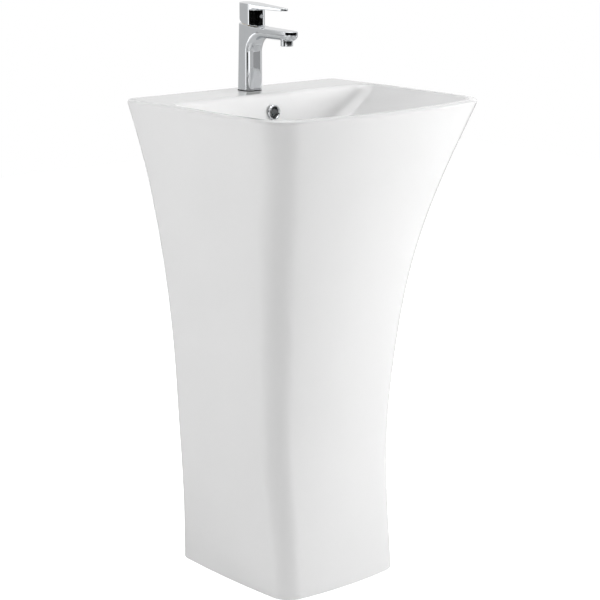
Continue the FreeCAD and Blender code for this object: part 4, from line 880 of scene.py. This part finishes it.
def leverForm(x, y, z):
    roof = z - lever["top"] + (lever["back"] - y) * lever["slope"]
    roof = roof / math.hypot(1, lever["slope"])
    # head: a stadium in plan, its underside following the seat and lifting at the back
    along = np.clip(y, -lever["stretch"], lever["headBack"])
    headPlan = np.hypot(x, y - along) - lever["radius"]
    seatLine = tap["seatSlope"] * y + lever["gap"] - z
    backLine = lever["gap"] + (tap["seatSlope"] * lever["back"] + lever["relief"]) * y / lever["back"] - z
    sole = np.where(y < 0, seatLine, backLine)
    head = roundedCommon(roundedCommon(headPlan, roof, lever["edge"]), sole, lever["soleEdge"])
    # paddle: draws in to its round tip
    tipY = -lever["reach"] + lever["tipHalf"]
    draw = np.clip((-lever["stretch"] - y) / (-lever["stretch"] - tipY), 0, 1)
    lean = (lever["radius"] - lever["tipHalf"]) / (-lever["stretch"] - tipY)
    flank = (np.abs(x) - lever["radius"] + draw * (lever["radius"] - lever["tipHalf"])) / math.hypot(1, lean)
    paddlePlan = np.where(y < tipY, np.hypot(x, y - tipY) - lever["tipHalf"], flank)
    tipLow = lever["top"] - (lever["back"] + lever["reach"]) * lever["slope"] - lever["tipThick"]
    under = beyond(y, z, (-lever["reach"], tipLow), (0, lever["top"] - lever["headThick"]))
    paddle = roundedCommon(roundedCommon(paddlePlan, roof, lever["edge"]), under, lever["edge"])
    body = roundedSum(head, np.maximum(paddle, y), lever["neck"])
    # the neck fills only below the roof and between the flanks
    body = np.maximum(np.maximum(body, roof), np.minimum(headPlan, paddlePlan))
    tilt = math.atan(tap["seatSlope"])
    up = z * math.cos(tilt) - y * math.sin(tilt)
    out = y * math.cos(tilt) + z * math.sin(tilt)
    radius, height, edge = lever["hollow"]
    body = roundedCommon(body, -np.maximum(np.hypot(x, out) - radius, up - height), edge)
    plugRadius, plugHeight, plugDepth = lever["plug"]
    face = -lever["stretch"] - lever["radius"]
    plugSeat = np.maximum(np.hypot(x, up - plugHeight) - plugRadius, out - face - plugDepth)
    return np.maximum(body, -plugSeat)


print("lever")
sideSpare, endSpare, topSpare = lever["spare"]
castingPiece("leverCasting", leverForm,
             (-lever["radius"] - sideSpare, -lever["reach"] - endSpare, -lever["soleSpare"]),
             (lever["radius"] + sideSpare, lever["back"] + endSpare, lever["top"] + topSpare),
             lever["grain"], (0.0, tapY, rimZ + tap["seat"]), "tap_lever", "lever_handle")

# metres, degrees and watts
studio = {
    "cameraAt": (-2.04577, -2.33993, 1.23892),
    "yaw": -40.7815,
    "pitch": 13.366,
    "lens": 110.41,
    "sensor": 36,
    "farthest": 100,
    "aim": (0, 0, 0.55),
    "boxes": ((330, 48.0), (300, 46.8), (150, 36.5), (180, 18.6), (210, 3.8), (30, 1.7)),
    "boxAway": 3.2,
    "boxHeight": 1.5,
    "boxSize": (1.6, 1.2),
    "topSize": (2.0, 2.0),
    "topPower": 29.2,
    "world": 0.01,
    "mirrored": (0.6, 0.85),           # what the polished pieces see, below and above the horizon
    "horizon": (-0.05, 0.1),
    "floor": "FFFFFF",
    "floorReach": 4,
    "floorCells": 8,
    "floorGlow": 1.0,                  # the sweep is lit from behind, so it stays white to the eye
}
print("camera, light and floor")
camera = bpy.data.objects.new("camera", bpy.data.cameras.new("camera"))
bpy.context.scene.collection.objects.link(camera)
camera.data.sensor_width = studio["sensor"]
camera.data.lens = studio["lens"]
camera.data.clip_end = studio["farthest"]
camera.location = studio["cameraAt"]
camera.rotation_euler = (math.radians(90 - studio["pitch"]), 0, math.radians(studio["yaw"]))
bpy.context.scene.camera = camera
bpy.context.scene.view_settings.view_transform = "Standard"


def softBox(name, place, size, power):
    light = bpy.data.lights.new(name, "AREA")
    light.shape = "RECTANGLE"
    light.size, light.size_y = size
    light.energy = power
    lamp = bpy.data.objects.new(name, light)
    bpy.context.scene.collection.objects.link(lamp)
    lamp.location = place
    lamp.rotation_euler = (Vector(studio["aim"]) - Vector(place)).to_track_quat("-Z", "Y").to_euler()
    lamp.visible_camera = False


# each box by its bearing round the basin; the strong ones stand to the right of the front
for bearing, power in studio["boxes"]:
    turn = math.radians(bearing)
    away = studio["boxAway"]
    place = (away * math.cos(turn), away * math.sin(turn), studio["boxHeight"])
    softBox(f"box{bearing}", place, studio["boxSize"], power)
softBox("topBox", (0, 0, studio["boxAway"]), studio["topSize"], studio["topPower"])

# cards round the tap that only show in reflections: two bearings, distance, two heights, then
# light, where 0 is black
cards = {
    "headShade": (152, 336, 0.70, 0.878, 1.15, 0.0),
    "leftGrey": (104, 137, 2.60, 0.0, 1.9, 0.62),
    "leftStrip": (138, 150, 2.60, 0.0, 1.9, 1.7),
    "lensShade": (176, 196, 2.60, 0.60, 0.76, 0.0),
    "middleStrip": (205, 232, 2.60, 0.0, 0.86, 1.5),
    "frontGrey": (296, 326, 2.60, 0.0, 1.1, 0.40),
    "rightStrip": (338, 348, 2.60, 0.0, 1.9, 1.5),
}
cardBlack = "060606"
cardStep = 2                           # degrees of bend in each facet


def stagePiece(name, mesh, material):
    mesh.materials.append(material)
    piece = bpy.data.objects.new(name, mesh)
    bpy.context.scene.collection.objects.link(piece)
    return piece


def reflector(name, start, end, away, low, high, brightness):
    # matt black card with a lit face
    material, _, shader = newMaterial(name + "Card", Roughness=1.0)
    shader.inputs["Base Color"].default_value = srgb(cardBlack)
    shader.inputs["Specular IOR Level"].default_value = 0.0
    shader.inputs["Emission Color"].default_value = (1, 1, 1, 1)
    shader.inputs["Emission Strength"].default_value = brightness
    points = []
    for bearing in range(start, end + 1, cardStep):
        turn = math.radians(bearing)
        x, y = away * math.cos(turn), away * math.sin(turn) + tapY * mm
        points += [(x, y, low), (x, y, high)]
    faces = [(k, k + 2, k + 3, k + 1) for k in range(0, len(points) - 2, 2)]
    mesh = bpy.data.meshes.new(name)
    mesh.from_pydata(points, [], faces)
    card = stagePiece(name, mesh, material)
    card.visible_camera = False
    card.visible_shadow = False
    card.visible_diffuse = False


for name, values in cards.items():
    reflector(name, *values)


def paperSweep():
    # rolled white paper: matt, with no shine of its own, and glowing to the camera alone
    material, tree, shader = newMaterial("paperSweep", Roughness=0.9, IOR=1.45)
    shader.inputs["Base Color"].default_value = srgb(studio["floor"])
    shader.inputs["Specular IOR Level"].default_value = 0.0
    shader.inputs["Emission Color"].default_value = (1, 1, 1, 1)
    path = addNode(tree, "ShaderNodeLightPath", at=(-300, -300))
    glow = addNode(tree, "ShaderNodeMath", {"operation": "MULTIPLY", 1: studio["floorGlow"]},
                   {0: path.outputs["Is Camera Ray"]}, (0, -300))
    tree.links.new(glow.outputs[0], shader.inputs["Emission Strength"])
    return material


sweep = bmesh.new()
bmesh.ops.create_grid(sweep, x_segments=studio["floorCells"], y_segments=studio["floorCells"],
                      size=studio["floorReach"])
sweepMesh = bpy.data.meshes.new("sweepFloor")
sweep.to_mesh(sweepMesh)
sweep.free()
stagePiece("sweepFloor", sweepMesh, paperSweep())


def studioWorld():
    # white to the camera, nearly dark as a light, and a pale room to the polished pieces
    world = bpy.data.worlds.new("studioWorld")
    bpy.context.scene.world = world
    world.use_nodes = True
    tree = world.node_tree
    tree.nodes.clear()
    white = {"Color": (1, 1, 1, 1)}
    seen = addNode(tree, "ShaderNodeBackground", {**white, "Strength": 1.0}, at=(0, 100))
    lit = addNode(tree, "ShaderNodeBackground", {**white, "Strength": studio["world"]}, at=(0, -100))
    sky = addNode(tree, "ShaderNodeTexCoord", at=(-700, -400))
    height = addNode(tree, "ShaderNodeSeparateXYZ", links={0: sky.outputs["Generated"]}, at=(-500, -400))
    below, above = studio["mirrored"]
    start, end = studio["horizon"]
    fade = addNode(tree, "ShaderNodeMapRange", {1: start, 2: end, 3: below, 4: above},
                   {0: height.outputs["Z"]}, (-300, -400))
    mirrored = addNode(tree, "ShaderNodeBackground", white, {"Strength": fade.outputs[0]}, (0, -300))
    path = addNode(tree, "ShaderNodeLightPath", at=(-200, 300))
    bounced = addNode(tree, "ShaderNodeMixShader", at=(200, -200), links={
        0: path.outputs["Is Glossy Ray"], 1: lit.outputs[0], 2: mirrored.outputs[0]})
    both = addNode(tree, "ShaderNodeMixShader", at=(400, 0), links={
        0: path.outputs["Is Camera Ray"], 1: bounced.outputs[0], 2: seen.outputs[0]})
    addNode(tree, "ShaderNodeOutputWorld", links={"Surface": both.outputs[0]}, at=(600, 0))


studioWorld()
